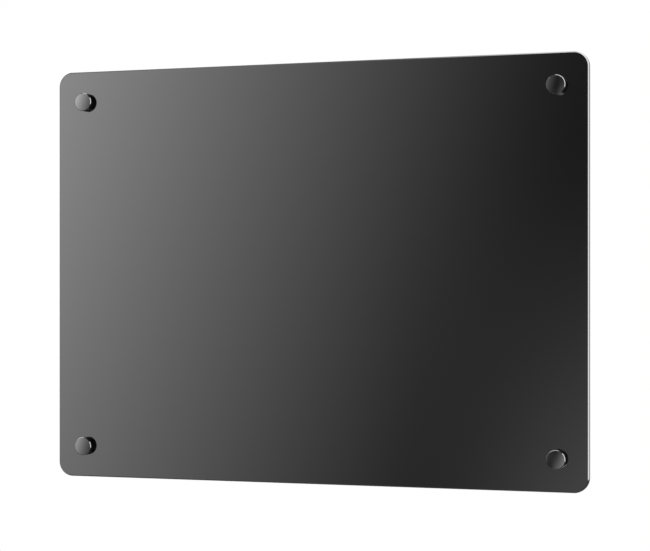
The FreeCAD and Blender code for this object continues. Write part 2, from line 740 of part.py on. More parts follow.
def make_thermostat():
    height = "dims.thermostat_height"
    box = centred_block("thermostat_box", THERMOSTAT_X, CASE_MID, f"{CASE_Z} - {height}",
                        "dims.thermostat_length", "dims.thermostat_width", height)
    bush = rod("thermostat_bush", "+Z", THERMOSTAT_X, CASE_MID, CASE_Z,
               "dims.bush_diameter / 2", "dims.fascia_thickness + dims.bush_height")
    bore = rod("thermostat_bore", "+Z", THERMOSTAT_X, CASE_MID, f"{CASE_Z} - {height} / 2",
               "dims.spindle_diameter / 2 + dims.thread_gap",
               f"{height} / 2 + dims.fascia_thickness + dims.bush_height")
    node(cut("thermostat", fuse("thermostat", box, bush), bore), "thermostat_body")
    node(nut("thermostat_nut", "+Z", THERMOSTAT_X, CASE_MID, FASCIA_TOP, "dims.bush_nut_flats",
             "dims.bush_diameter / 2 + dims.thread_gap", "dims.bush_nut_height"), "thermostat_nut")
    spindle = rod("spindle", "+Z", THERMOSTAT_X, CASE_MID, f"{CASE_Z} - {height} / 2 + dims.fit_gap",
                  "dims.spindle_diameter / 2",
                  f"{height} / 2 - dims.fit_gap + dims.fascia_thickness + dims.spindle_height")
    node(spindle, "thermostat_spindle")


def make_knob():
    body = new_body("Knob")
    body.Placement = Placement(Vector(), Rotation(Vector(0, 0, -1), SIZES["knob_rest"]))
    put(body, THERMOSTAT_X, CASE_MID, f"{FASCIA_TOP} + dims.knob_lift")
    body.setExpression("Placement.Rotation.Angle", "dims.knob_rest")
    profile = sketch_on(body, "KnobProfile", "XZ_Plane")
    bore = "(dims.spindle_diameter / 2 + dims.thread_gap)"
    socket_top = "(dims.spindle_height - dims.knob_lift + dims.fit_gap)"
    polygon(profile, "knob", [
        ("0", socket_top),
        ("0", "dims.knob_height"),
        ("dims.knob_diameter / 2", "dims.knob_height"),
        ("dims.knob_diameter / 2", "0"),
        ("dims.knob_recess / 2", "0"),
        ("dims.knob_recess / 2", "dims.knob_recess_height"),
        (bore, "dims.knob_recess_height"),
        (bore, socket_top),
    ])
    turned = revolve(body, profile, "KnobTurned")
    top_rim = round_edge(number("dims.knob_diameter / 2"), "z", number("dims.knob_height"))
    soften(body, "PartDesign::Fillet", "KnobEdge", turned, top_rim, "dims.knob_edge")
    flute = sketch_on(body, "KnobFlute", "XY_Plane", "dims.knob_crown")
    circle(flute, "flute", "dims.flute_diameter / 2", "dims.knob_diameter / 2 + dims.flute_diameter / 4")
    first_flute = pocket(body, flute, "KnobFluteCut", reversed_way=True)
    ring = body.newObject("PartDesign::PolarPattern", "KnobFlutes")
    ring.Originals = [first_flute]
    ring.Axis = (flute, ["N_Axis"])
    ring.Angle = 360
    ring.setExpression("Occurrences", "dims.knob_flutes")
    body.Tip = ring
    doc.recompute()
    pointer = sketch_on(body, "KnobPointer", "XY_Plane", "dims.knob_height")
    rectangle(pointer, "pointer", "dims.pointer_width", "dims.pointer_length", "0",
              "-(dims.knob_diameter / 2 - dims.pointer_length / 2)")
    pocket(body, pointer, "KnobPointerCut", "dims.pointer_depth")
    node(body, "thermostat_knob")


def make_switch():
    length, width = "dims.switch_length", "dims.switch_width"
    rim = "2 * dims.bezel_rim"
    low = f"({CASE_Z} + dims.fascia_thickness - dims.switch_depth)"
    case = centred_block("switch_case", SWITCH_X, CASE_MID, low, length, width, "dims.switch_depth")
    bezel = centred_block("switch_bezel", SWITCH_X, CASE_MID, FASCIA_TOP,
                          f"{length} + {rim}", f"{width} + {rim}", "dims.bezel_height")
    well = centred_block("switch_well", SWITCH_X, CASE_MID, f"{FASCIA_TOP} - dims.rocker_well",
                         f"{length} - 2 * dims.switch_wall", f"{width} - 2 * dims.switch_wall",
                         "dims.rocker_well + dims.bezel_height")
    pivot = rod("switch_pivot_hole", "+Y", SWITCH_X, f"{CASE_MID} - {width} / 2", PIVOT_Z,
                "dims.pivot_diameter / 2 + dims.thread_gap", width)
    node(cut("switch", fuse("switch", case, bezel), well, pivot), "switch_body")

    body = new_body("Rocker")
    body.Placement = Placement(Vector(), Rotation(Vector(0, -1, 0), SIZES["rocker_tilt"]))
    put(body, SWITCH_X, CASE_MID, PIVOT_Z)
    body.setExpression("Placement.Rotation.Angle", "dims.rocker_tilt")
    profile = sketch_on(body, "RockerProfile", "XZ_Plane")
    half = "(dims.switch_length / 2 - dims.switch_wall - 3 * dims.rocker_gap)"
    foot = f"({half} - dims.rocker_dip)"
    polygon(profile, "rocker", [
        (f"-{foot}", "-dims.rocker_drop"),
        (foot, "-dims.rocker_drop"),
        (half, "dims.rocker_rise"),
        ("0", "dims.rocker_dip"),
        (f"-{half}", "dims.rocker_rise"),
    ])
    rocker_width = "dims.switch_width - 2 * dims.switch_wall - 2 * dims.rocker_gap"
    pad(body, profile, "RockerBlock", rocker_width, both_ways=True)
    pins = sketch_on(body, "RockerPins", "XZ_Plane")
    circle(pins, "pin", "dims.pivot_diameter / 2")
    pad(body, pins, "RockerPinStubs", "dims.switch_width - dims.switch_wall", both_ways=True)
    node(body, "switch_rocker")


def make_lamp():
    stem = rod("lamp_stem", "+Z", LAMP_X, CASE_MID, f"{FASCIA_TOP} - dims.lamp_stem",
               "dims.lamp_diameter / 2", "dims.lamp_stem")
    rim = rod("lamp_rim", "+Z", LAMP_X, CASE_MID, FASCIA_TOP,
              "dims.lamp_diameter / 2 + dims.lamp_rim", "dims.lamp_rim")
    dome = taper("lamp_dome", "+Z", LAMP_X, CASE_MID, f"{FASCIA_TOP} + dims.lamp_rim",
                 "dims.lamp_diameter / 2", "dims.lamp_diameter / 4", "dims.lamp_dome")
    node(fuse("lamp", stem, rim, dome), "pilot_lamp")


# Heating element and what carries it


def make_element():
    body = new_body("Element", y=CASE_MID, z=ELEMENT_Z)
    profile = sketch_on(body, "ElementProfile", "YZ_Plane")
    deep, tall = "(dims.element_depth / 2)", "(dims.element_height / 2)"
    tip = f"({deep} - dims.element_arm)"
    hub, web = "dims.element_hub", "(2 * dims.element_hub)"
    polygon(profile, "cross", [
        (deep, tall), (tip, tall), ("0", web), (f"-{tip}", tall), (f"-{deep}", tall), (f"-{hub}", "0"),
        (f"-{deep}", f"-{tall}"), (f"-{tip}", f"-{tall}"), ("0", f"-{web}"), (tip, f"-{tall}"),
        (deep, f"-{tall}"), (hub, "0"),
    ])
    circle(profile, "core", "dims.core_diameter / 2 + dims.thread_gap")
    pad(body, profile, "ElementExtrusion", f"2 * {ELEMENT_END}", both_ways=True)
    node(body, "heating_element")
    core = rod("element_rod", "+X", f"-{CORE_END}", CASE_MID, ELEMENT_Z,
               "dims.core_diameter / 2", f"2 * {CORE_END}")
    node(core, "element_core")


def make_element_brackets():
    bushes = []
    for side, sx, outward in (("left", -1, "-X"), ("right", 1, "+X")):
        thickness = "dims.bracket_thickness"
        inner = f"{sx} * {BRACKET_X}"
        low_x = inner if sx > 0 else f"{inner} - {thickness}"
        deep = f"({CASE_INNER} - {CASE_MID} + dims.bracket_reach)"
        low_z = f"{ELEMENT_Z} - dims.bracket_height / 2"
        web = block(f"bracket_web_{side}", low_x, f"{CASE_INNER} - {deep}", low_z,
                    thickness, deep, "dims.bracket_height")
        foot_x = inner if sx > 0 else f"{inner} - dims.bracket_foot"
        foot = block(f"bracket_foot_{side}", foot_x, f"{CASE_INNER} - {thickness}", low_z,
                     "dims.bracket_foot", thickness, "dims.bracket_height")
        hole = rod(f"bracket_hole_{side}", outward, inner, CASE_MID, ELEMENT_Z,
                   "dims.bush_outer / 2 + dims.fit_gap", thickness)
        node(cut(f"bracket_{side}", fuse(f"bracket_{side}", web, foot), hole), f"element_bracket_{side}")
        outer_x = f"({inner} + {sx} * {thickness})"
        sleeve = rod(f"ceramic_sleeve_{side}", outward, f"{outer_x} - {sx} * dims.bush_length / 2",
                     CASE_MID, ELEMENT_Z, "dims.bush_outer / 2", "dims.bush_length / 2")
        flange = rod(f"ceramic_flange_{side}", outward, outer_x, CASE_MID, ELEMENT_Z,
                     "dims.bush_flange / 2", "dims.bush_flange_height")
        bore = rod(f"ceramic_bore_{side}", outward, f"{outer_x} - {sx} * dims.bush_length / 2",
                   CASE_MID, ELEMENT_Z, "dims.core_diameter / 2 + dims.fit_gap",
                   "dims.bush_length / 2 + dims.bush_flange_height")
        bushes.append(cut(f"ceramic_{side}", fuse(f"ceramic_{side}", sleeve, flange), bore))
    node(group("ceramic_bushes", bushes), "ceramic_bushes")


def make_shield():
    low, high = f"({ELEMENT_Z} - dims.shield_below)", f"({ELEMENT_Z} + dims.shield_above)"
    sheet = block("shield_sheet", f"-{SHIELD_X}", SHIELD_FRONT, low, f"2 * {SHIELD_X}",
                  "dims.shield_thickness", "dims.shield_above + dims.shield_below")
    node(sheet, "heat_shield")
    spacers = []
    levels = (("low", f"{low} + dims.shield_spacer_inset"), ("high", f"{high} - dims.shield_spacer_inset"))
    for side, sx in (("left", -1), ("right", 1)):
        x = f"{sx} * ({SHIELD_X} - dims.shield_spacer_inset)"
        for level, z in levels:
            spacers.append(rod(f"shield_spacer_{side}_{level}", "-Y", x, CASE_INNER, z,
                               "dims.shield_spacer / 2", "dims.shield_gap"))
    node(group("shield_spacers", spacers), "shield_spacers")


def make_cutout():
    x = CUTOUT_X
    can = rod("cutout_can", "-Y", x, SHIELD_FRONT, CUTOUT_Z,
              "dims.cutout_diameter / 2", "dims.cutout_height")
    node(can, "thermal_cutout")
    strap = centred_block("strap_sheet", x, f"({SHIELD_FRONT} - dims.strap_thickness / 2)",
                          f"{CUTOUT_Z} - dims.strap_width / 2", "dims.strap_length",
                          "dims.strap_thickness", "dims.strap_width")
    opening = rod("strap_opening", "-Y", x, SHIELD_FRONT, CUTOUT_Z,
                  "dims.cutout_diameter / 2 + dims.fit_gap", "dims.strap_thickness")
    node(cut("strap", strap, opening), "cutout_strap")
    heads = [
        rod(f"strap_rivet_{side}", "-Y", f"{x} + {sx} * dims.strap_screw_spacing / 2",
            f"{SHIELD_FRONT} - dims.strap_thickness", CUTOUT_Z,
            "dims.screw_shank / 2", "dims.strap_thickness")
        for side, sx in (("left", -1), ("right", 1))
    ]
    node(group("strap_rivets", heads), "strap_rivets")


# Mains side


def make_terminals():
    case = centred_block("terminal_case", TERMINAL_X, f"({CASE_INNER} - dims.terminal_depth / 2)",
                         f"{TERMINAL_Z} - dims.terminal_height / 2", "dims.terminal_length",
                         "dims.terminal_depth", "dims.terminal_height")
    front = f"{CASE_INNER} - dims.terminal_depth"
    holes, screws = [], []
    for way in (-1, 0, 1):
        for level, sz in (("low", -1), ("high", 1)):
            x = f"{TERMINAL_X} + {way} * dims.terminal_pitch"
            z = f"{TERMINAL_Z} + {sz} * dims.terminal_height / 4"
            name = f"terminal_{level}_{way + 1}"
            holes.append(rod(f"{name}_well", "+Y", x, front, z,
                             "dims.terminal_screw / 2 + dims.fit_gap", "dims.terminal_depth / 2"))
            screws.append(rod(f"{name}_screw", "-Y", x, f"{front} + dims.terminal_depth / 2", z,
                              "dims.terminal_screw / 2", "dims.terminal_depth / 3"))
    node(cut("terminal_block", case, *holes), "terminal_block")
    node(group("terminal_screws", screws), "terminal_screws")
    stud = rod("earth_pin", "-Y", EARTH_X, CASE_INNER, TERMINAL_Z,
               "dims.earth_diameter / 2", "dims.earth_length")
    node(stud, "earth_stud")
    node(nut("earth_nut", "-Y", EARTH_X, CASE_INNER, TERMINAL_Z, "dims.earth_nut_flats",
             "dims.earth_diameter / 2 + dims.thread_gap", "dims.earth_nut_height"), "earth_nut")


def make_gland():
    x, bottom = TERMINAL_X, f"(-{CASE_Z})"
    barrel = rod("gland_barrel", "+Z", x, CASE_MID, bottom,
                 "dims.gland_barrel / 2", "dims.gland_barrel_length")
    flange = hexagon("gland_hex", "-Z", x, CASE_MID, bottom, "dims.gland_flats", "dims.gland_flange")
    spout = rod("gland_spout", "-Z", x, CASE_MID, f"{bottom} - dims.gland_flange",
                "dims.gland_barrel / 2", "dims.dome_height - dims.gland_flange")
    bore = rod("gland_bore", "+Z", x, CASE_MID, f"{bottom} - dims.dome_height",
               "dims.gland_bore / 2 + dims.fit_gap", "dims.dome_height + dims.gland_barrel_length")
    node(cut("gland", fuse("gland", barrel, flange, spout), bore), "gland_body")
    node(nut("gland_locknut", "+Z", x, CASE_MID, f"{bottom} + dims.sheet_thickness", "dims.gland_flats",
             "dims.gland_barrel / 2 + dims.thread_gap", "dims.gland_nut_height"), "gland_locknut")
    top = f"{bottom} - dims.gland_flange"
    dome_body = taper("dome_body", "-Z", x, CASE_MID, top, "dims.gland_flats / 2",
                      "dims.gland_barrel / 2", "dims.dome_height")
    socket = rod("dome_socket", "-Z", x, CASE_MID, top, "dims.gland_barrel / 2 + dims.thread_gap",
                 "dims.dome_height - dims.gland_flange + dims.fit_gap")
    mouth = rod("dome_mouth", "-Z", x, CASE_MID, top,
                "dims.gland_bore / 2 + dims.fit_gap", "dims.dome_height")
    node(cut("dome", dome_body, socket, mouth), "gland_dome_nut")
    node(tube("seal", "-Z", x, CASE_MID, bottom, "dims.gland_bore / 2", "dims.seal_bore / 2",
              "dims.seal_length"), "gland_seal")


# Spade tabs and wiring


def tab(name, x, y, z):
    return block(name, f"{x} - dims.tab_width / 2", f"{y} - dims.tab_thickness / 2", z,
                 "dims.tab_width", "dims.tab_thickness", "dims.tab_length")


def make_tabs():
    switch_low = f"{CASE_Z} + dims.fascia_thickness - dims.switch_depth - dims.tab_length"
    thermostat_low = f"{CASE_Z} - dims.thermostat_height - dims.tab_length"
    tabs = []
    for side, sx in (("left", -1), ("right", 1)):
        shift = f"{sx} * dims.tab_spread"
        wide_shift = f"2 * {shift}"
        tabs.append(tab(f"switch_tab_{side}", f"{SWITCH_X} + {shift}", CASE_MID, switch_low))
        tabs.append(tab(f"thermostat_tab_{side}", f"{THERMOSTAT_X} + {wide_shift}", CASE_MID, thermostat_low))
        tabs.append(tab(f"cutout_tab_{side}", f"{CUTOUT_X} + {shift}",
                        f"({SHIELD_FRONT} - dims.cutout_height / 2)",
                        f"{CUTOUT_Z} + dims.cutout_diameter / 2"))
    node(group("spade_tabs", tabs), "spade_tabs")


def lead(label, points):
    places = [Vector(*p) for p in points]
    edges, start, bends = [], places[0], []
    for before, corner, after in zip(places, places[1:], places[2:]):
        inward, outward = (before - corner), (after - corner)
        turn = math.pi - inward.getAngle(outward)
        reach = 0.45 * min(inward.Length, outward.Length)
        bends.append(reach / math.tan(turn / 2))
        inward.normalize()
        outward.normalize()
        enter, leave = corner + inward * reach, corner + outward * reach
        centre_way = (inward + outward).normalize()
        to_centre = bends[-1] / math.cos(turn / 2)
        middle = corner + centre_way * (to_centre - bends[-1])
        edges.append(Part.LineSegment(start, enter).toShape())
        edges.append(Part.Arc(enter, middle, leave).toShape())
        start = leave
    edges.append(Part.LineSegment(start, places[-1]).toShape())
    path = Part.Wire(edges)
    radius = number("dims.lead_diameter / 2")
    section = Part.Wire([Part.Circle(places[0], places[1] - places[0], radius).toShape()])
    wire = doc.addObject("Part::Feature", label)
    wire.Shape = path.makePipeShell([section], True, False)
    expected = math.pi * radius**2 * path.Length
    print(f"{label}: length {path.Length:.0f} mm, least radius {min(bends):.1f} mm, "
          f"volume over section times length {wire.Shape.Volume / expected:.4f}")
    node(wire, label)


def make_wiring():
    mid, case_z = number(CASE_MID), number(CASE_Z)
    stub, swing, bow = number("dims.lead_stub"), number("dims.lead_swing"), number("dims.lead_bow")
    spread = number("dims.tab_spread")
    switch_x, thermostat_x = number(SWITCH_X), number(THERMOSTAT_X)
    switch_low = case_z + number("dims.fascia_thickness - dims.switch_depth - dims.tab_length")
    thermostat_low = case_z - number("dims.thermostat_height + dims.tab_length")
    cut_x, cut_y = number(CUTOUT_X), number(f"{SHIELD_FRONT} - dims.cutout_height / 2")
    cut_top = number(f"{CUTOUT_Z} + dims.cutout_diameter / 2 + dims.tab_length")
    block_x, pitch = number(TERMINAL_X), number("dims.terminal_pitch")
    block_y = number(f"{CASE_INNER} - dims.terminal_depth / 2")
    block_top = number(f"{TERMINAL_Z} + dims.terminal_height / 2")
    core_end, element_z = number(CORE_END), number(ELEMENT_Z)
    earth_x, earth_top = number(EARTH_X), number(f"{TERMINAL_Z} + dims.earth_diameter / 2")
    below = element_z - number("dims.element_height") / 2 - swing * 0.7

    live_x, rise = switch_x + spread, switch_low - block_top
    lead("lead_live", [
        (block_x, block_y, block_top),
        (block_x, block_y, block_top + rise * 0.07),
        (block_x + swing, block_y - bow, block_top + rise * 0.21),
        (block_x + swing, block_y - bow * 2, block_top + rise * 0.48),
        (live_x, mid + bow, block_top + rise * 0.74),
        (live_x, mid, block_top + rise * 0.91),
        (live_x, mid, switch_low),
    ])
    lead("lead_switched", [
        (switch_x - spread, mid, switch_low),
        (switch_x - spread, mid, switch_low - stub),
        ((switch_x + thermostat_x) / 2, mid, thermostat_low - stub * 1.6),
        (thermostat_x + spread * 2, mid, thermostat_low - stub),
        (thermostat_x + spread * 2, mid, thermostat_low),
    ])
    drop = thermostat_low - cut_top
    lead("lead_thermostat", [
        (thermostat_x - spread * 2, mid, thermostat_low),
        (thermostat_x - spread * 2, mid, thermostat_low - drop * 0.2),
        (cut_x + swing * 0.6, mid + bow, thermostat_low - drop * 0.6),
        (cut_x - spread, cut_y, cut_top + drop * 0.3),
        (cut_x - spread, cut_y, cut_top),
    ])
    lead("lead_cutout", [
        (cut_x + spread, cut_y, cut_top),
        (cut_x + spread, cut_y, cut_top + stub),
        (cut_x + swing, cut_y - bow, cut_top + stub * 1.6),
        (core_end + stub * 0.5, mid, cut_top),
        (core_end + stub, mid - bow, element_z + swing),
        (core_end + stub, mid, element_z),
        (core_end, mid, element_z),
    ])
    lead("lead_neutral", [
        (block_x - pitch, block_y, block_top),
        (block_x - pitch, block_y, block_top + stub),
        (block_x - pitch - swing * 0.6, block_y - bow, below),
        (0, block_y - bow * 1.3, below - bow),
        (-core_end + stub * 0.5, block_y - bow * 2, below),
        (-core_end - stub, mid, below + swing * 0.7),
        (-core_end - stub, mid - bow, element_z),
        (-core_end, mid, element_z),
    ])
    earth_y = block_y - bow / 3
    lead("lead_earth", [
        (block_x + pitch, block_y, block_top),
        (block_x + pitch, block_y, block_top + stub),
        (block_x + pitch + stub, earth_y, block_top + stub * 1.4),
        (earth_x, earth_y, block_top + stub * 0.6),
        (earth_x, earth_y, earth_top),
    ])


def check_and_write():
    doc.recompute()
    for thing in doc.Objects:
        if any(word in ("Invalid", "Error") for word in thing.State):
            raise RuntimeError(f"{thing.Label} failed: {thing.State}")
    os.makedirs("parts", exist_ok=True)
    for piece in nodes:
        shape = piece.Shape
        if shape.isNull() or not shape.isValid() or not shape.Solids:
            raise RuntimeError(f"{piece.Label} is not a valid solid")
    for piece in nodes:
        piece.Shape.exportStep(f"parts/{piece.Label}.step")
    print(f"{len(nodes)} pieces written")


make_glass()
make_fixings()
make_front_plate()
make_casing()
make_plate_screws()
make_rail("upper", 1)
make_rail("lower", -1)
make_spacers()
make_fascia()
make_thermostat()
make_knob()
make_switch()
make_lamp()
make_element()
make_element_brackets()
make_shield()
make_cutout()
make_terminals()
make_gland()
make_tabs()
make_wiring()
check_and_write()
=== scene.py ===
import json
import math

import bmesh
import bpy
from mathutils import Matrix, Vector


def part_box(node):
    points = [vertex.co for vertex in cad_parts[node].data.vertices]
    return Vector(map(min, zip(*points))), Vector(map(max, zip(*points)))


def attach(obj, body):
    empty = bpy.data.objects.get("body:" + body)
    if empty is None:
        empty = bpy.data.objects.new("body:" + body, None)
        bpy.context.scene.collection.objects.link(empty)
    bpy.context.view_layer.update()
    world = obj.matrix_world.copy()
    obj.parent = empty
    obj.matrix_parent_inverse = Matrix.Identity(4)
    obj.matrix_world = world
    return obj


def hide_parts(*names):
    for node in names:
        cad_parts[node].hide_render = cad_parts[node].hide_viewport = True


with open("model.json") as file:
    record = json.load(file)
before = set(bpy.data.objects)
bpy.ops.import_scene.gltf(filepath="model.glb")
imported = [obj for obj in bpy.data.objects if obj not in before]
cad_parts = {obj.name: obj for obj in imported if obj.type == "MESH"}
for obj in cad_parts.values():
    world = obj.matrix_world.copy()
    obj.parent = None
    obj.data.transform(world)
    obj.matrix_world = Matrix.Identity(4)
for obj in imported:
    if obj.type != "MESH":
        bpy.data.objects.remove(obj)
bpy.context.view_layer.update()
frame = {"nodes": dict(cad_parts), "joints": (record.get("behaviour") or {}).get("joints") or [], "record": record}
nodes = frame["nodes"]
mm = 0.001
weldGap = 0.001 * mm  # points closer than this become one
corners = ("top_left", "top_right", "bottom_left", "bottom_right")
print("frame loaded:", len(nodes), "nodes")


def hexColor(text):
    channels = [int(text[i:i + 2], 16) / 255 for i in (1, 3, 5)]
    linear = [c / 12.92 if c <= 0.04045 else ((c + 0.055) / 1.055) ** 2.4 for c in channels]
    return (*linear, 1.0)


def addNode(tree, kind, inputs=None, **settings):
    node = tree.nodes.new(kind)
    for name, value in settings.items():
        setattr(node, name, value)
    for name, value in (inputs or {}).items():
        if isinstance(value, bpy.types.NodeSocket):
            tree.links.new(value, node.inputs[name])
        else:
            node.inputs[name].default_value = value
    return node


def feed(tree, shader, **sources):
    for name, source in sources.items():
        tree.links.new(source, shader.inputs[name.replace("_", " ")])


def startMaterial(name, **shaderInputs):
    material = bpy.data.materials.new(name)
    material.use_nodes = True
    tree = material.node_tree
    tree.nodes.clear()
    shader = addNode(tree, "ShaderNodeBsdfPrincipled", {
        socket.replace("_", " "): value for socket, value in shaderInputs.items()
    })
    addNode(tree, "ShaderNodeOutputMaterial", {"Surface": shader.outputs["BSDF"]})
    coords = addNode(tree, "ShaderNodeTexCoord").outputs["Object"]
    return material, tree, shader, coords


# pane: float glass with black enamel fired on its back, its edge ground and polished.
# The eye sees only what it mirrors, dulled here and there by faint wiping marks of about 260 by 45 mm.
def enamelledGlass():
    material, tree, shader, coords = startMaterial("floatGlassBlackEnamelled", IOR=1.52)
    wipe = addNode(tree, "ShaderNodeMapping", {
        "Vector": coords, "Rotation": (0, math.radians(25), 0), "Scale": (1 / (260 * mm), 1.0, 1 / (45 * mm)),
    })
    smear = addNode(tree, "ShaderNodeTexNoise", {
        "Vector": wipe.outputs["Vector"], "Scale": 1.0, "Detail": 3.0,
    })
    film = addNode(tree, "ShaderNodeMapRange", {
        "Value": smear.outputs["Fac"], "From Min": 0.4, "From Max": 0.75, "To Min": 0.003, "To Max": 0.02,
    })
    enamel = addNode(tree, "ShaderNodeMix", {
        "Factor": smear.outputs["Fac"], "A": hexColor("#020203"), "B": hexColor("#040405"),
    }, data_type="RGBA")
    feed(tree, shader, Base_Color=enamel.outputs["Result"], Roughness=film.outputs["Result"])
    return material


# caps: turned steel under hard stoved lacquer, nearly as glossy as the glass, with a trace of orange peel
def stovedLacquer():
    material, tree, shader, coords = startMaterial("turnedSteelBlackLacquer", IOR=1.52)
    peel = addNode(tree, "ShaderNodeTexNoise", {"Vector": coords, "Scale": 1 / (1.5 * mm), "Detail": 1.0})
    tone = addNode(tree, "ShaderNodeMix", {
        "Factor": peel.outputs["Fac"], "A": hexColor("#030303"), "B": hexColor("#070707"),
    }, data_type="RGBA")
    gloss = addNode(tree, "ShaderNodeMapRange", {
        "Value": peel.outputs["Fac"], "To Min": 0.02, "To Max": 0.05,
    })
    feed(tree, shader, Base_Color=tone.outputs["Result"], Roughness=gloss.outputs["Result"])
    return material


# body: sheet steel with a baked graphite powder coat, whose fine grain breaks the shine into a soft sheen.
# The real grain is about 0.5 mm, drawn at 1.4 mm so that it shows.
def powderCoat():
    material, tree, shader, coords = startMaterial(
        "sheetSteelGraphitePowderCoat", Roughness=0.5, Specular_IOR_Level=0.3
    )
    grain = addNode(tree, "ShaderNodeTexNoise", {"Vector": coords, "Scale": 1 / (1.4 * mm), "Detail": 2.0})
    cloud = addNode(tree, "ShaderNodeTexNoise", {"Vector": coords, "Scale": 1 / (70 * mm), "Detail": 2.0})
    mottle = addNode(tree, "ShaderNodeMath", {
        0: grain.outputs["Fac"], 1: cloud.outputs["Fac"],
    }, operation="MULTIPLY")
    tone = addNode(tree, "ShaderNodeMapRange", {
        "Value": mottle.outputs[0], "From Min": 0.12, "From Max": 0.4,
    })
    color = addNode(tree, "ShaderNodeMix", {
        "Factor": tone.outputs["Result"], "A": hexColor("#393a3e"), "B": hexColor("#424347"),
    }, data_type="RGBA")
    bump = addNode(tree, "ShaderNodeBump", {
        "Height": grain.outputs["Fac"], "Strength": 0.5, "Distance": 0.15 * mm,
    })
    feed(tree, shader, Base_Color=color.outputs["Result"], Normal=bump.outputs["Normal"])
    return material


# rails and small brackets: bright zinc plate, whose crystals catch the light in slightly paler and darker
# flakes of about 3 mm
def zincPlate():
    material, tree, shader, coords = startMaterial("sheetSteelZincPlated", Metallic=1.0)
    flake = addNode(tree, "ShaderNodeTexVoronoi", {"Vector": coords, "Scale": 1 / (3 * mm)})
    streak = addNode(tree, "ShaderNodeTexNoise", {"Vector": coords, "Scale": 1 / (18 * mm), "Detail": 4.0})
    crystal = addNode(tree, "ShaderNodeSeparateColor", {"Color": flake.outputs["Color"]})
    blend = addNode(tree, "ShaderNodeMath", {
        0: crystal.outputs["Red"], 1: streak.outputs["Fac"],
    }, operation="MULTIPLY")
    color = addNode(tree, "ShaderNodeMix", {
        "Factor": blend.outputs[0], "A": hexColor("#b3b6ba"), "B": hexColor("#cccfd3"),
    }, data_type="RGBA")
    rough = addNode(tree, "ShaderNodeMapRange", {
        "Value": crystal.outputs["Green"], "To Min": 0.27, "To Max": 0.37,
    })
    feed(tree, shader, Base_Color=color.outputs["Result"], Roughness=rough.outputs["Result"])
    return material


# other bare metals: lines left by turning, rolling or drawing, which streak the tone and the shine.
# Real lines are about 0.1 mm apart, drawn at 0.4 mm and more so that they show.
def linedMetal(name, dark, light, roughness, linePitch):
    material, tree, shader, coords = startMaterial(name, Metallic=1.0)
    lay = addNode(tree, "ShaderNodeMapping", {
        "Vector": coords, "Scale": tuple(1 / pitch for pitch in linePitch),
    })
    line = addNode(tree, "ShaderNodeTexNoise", {"Vector": lay.outputs["Vector"], "Scale": 1.0, "Detail": 3.0})
    color = addNode(tree, "ShaderNodeMix", {
        "Factor": line.outputs["Fac"], "A": hexColor(dark), "B": hexColor(light),
    }, data_type="RGBA")
    rough = addNode(tree, "ShaderNodeMapRange", {
        "Value": line.outputs["Fac"], "To Min": roughness * 0.7, "To Max": roughness * 1.3,
    })
    bump = addNode(tree, "ShaderNodeBump", {
        "Height": line.outputs["Fac"], "Strength": 0.2, "Distance": 0.02 * mm,
    })
    feed(tree, shader, Base_Color=color.outputs["Result"], Roughness=rough.outputs["Result"],
         Normal=bump.outputs["Normal"])
    return material


# plastics, rubbers and ceramics: an even body colour with the grain that the mould or kiln leaves.
# Real grain is about 0.1 to 0.3 mm, drawn at 0.5 mm and more so that it shows.
def mouldedSkin(name, dark, light, roughness, grainSize, grainDepth, ior=1.5):
    material, tree, shader, coords = startMaterial(name, IOR=ior)
    grain = addNode(tree, "ShaderNodeTexNoise", {"Vector": coords, "Scale": 1 / grainSize, "Detail": 2.0})
    color = addNode(tree, "ShaderNodeMix", {
        "Factor": grain.outputs["Fac"], "A": hexColor(dark), "B": hexColor(light),
    }, data_type="RGBA")
    rough = addNode(tree, "ShaderNodeMapRange", {
        "Value": grain.outputs["Fac"], "To Min": roughness * 0.85, "To Max": roughness * 1.15,
    })
    bump = addNode(tree, "ShaderNodeBump", {
        "Height": grain.outputs["Fac"], "Strength": 0.5, "Distance": grainDepth,
    })
    feed(tree, shader, Base_Color=color.outputs["Result"], Roughness=rough.outputs["Result"],
         Normal=bump.outputs["Normal"])
    return material


# pilot lens: clear amber polycarbonate, deeper in colour where the moulding is thick
def amberLens():
    material, tree, shader, coords = startMaterial(
        "polycarbonateAmber", IOR=1.58, Roughness=0.08, Transmission_Weight=0.55
    )
    depth = addNode(tree, "ShaderNodeTexNoise", {"Vector": coords, "Scale": 1 / (3 * mm), "Detail": 1.0})
    color = addNode(tree, "ShaderNodeMix", {
        "Factor": depth.outputs["Fac"], "A": hexColor("#c8660e"), "B": hexColor("#f2a33a"),
    }, data_type="RGBA")
    feed(tree, shader, Base_Color=color.outputs["Result"])
    return material


# earth lead: silicone sleeve in green with a yellow stripe every 4 mm of its length
def earthSleeve():
    material, tree, shader, coords = startMaterial("siliconeSleeveGreenYellow", Roughness=0.5)
    stripe = addNode(tree, "ShaderNodeTexWave", {
        "Vector": coords, "Scale": math.pi / 10 / (4 * mm), "Distortion": 0.6,
    }, bands_direction="DIAGONAL")
    side = addNode(tree, "ShaderNodeMapRange", {
        "Value": stripe.outputs["Fac"], "From Min": 0.45, "From Max": 0.55,
    })
    color = addNode(tree, "ShaderNodeMix", {
        "Factor": side.outputs["Result"], "A": hexColor("#3f8f35"), "B": hexColor("#e3cf33"),
    }, data_type="RGBA")
    feed(tree, shader, Base_Color=color.outputs["Result"])
    return material


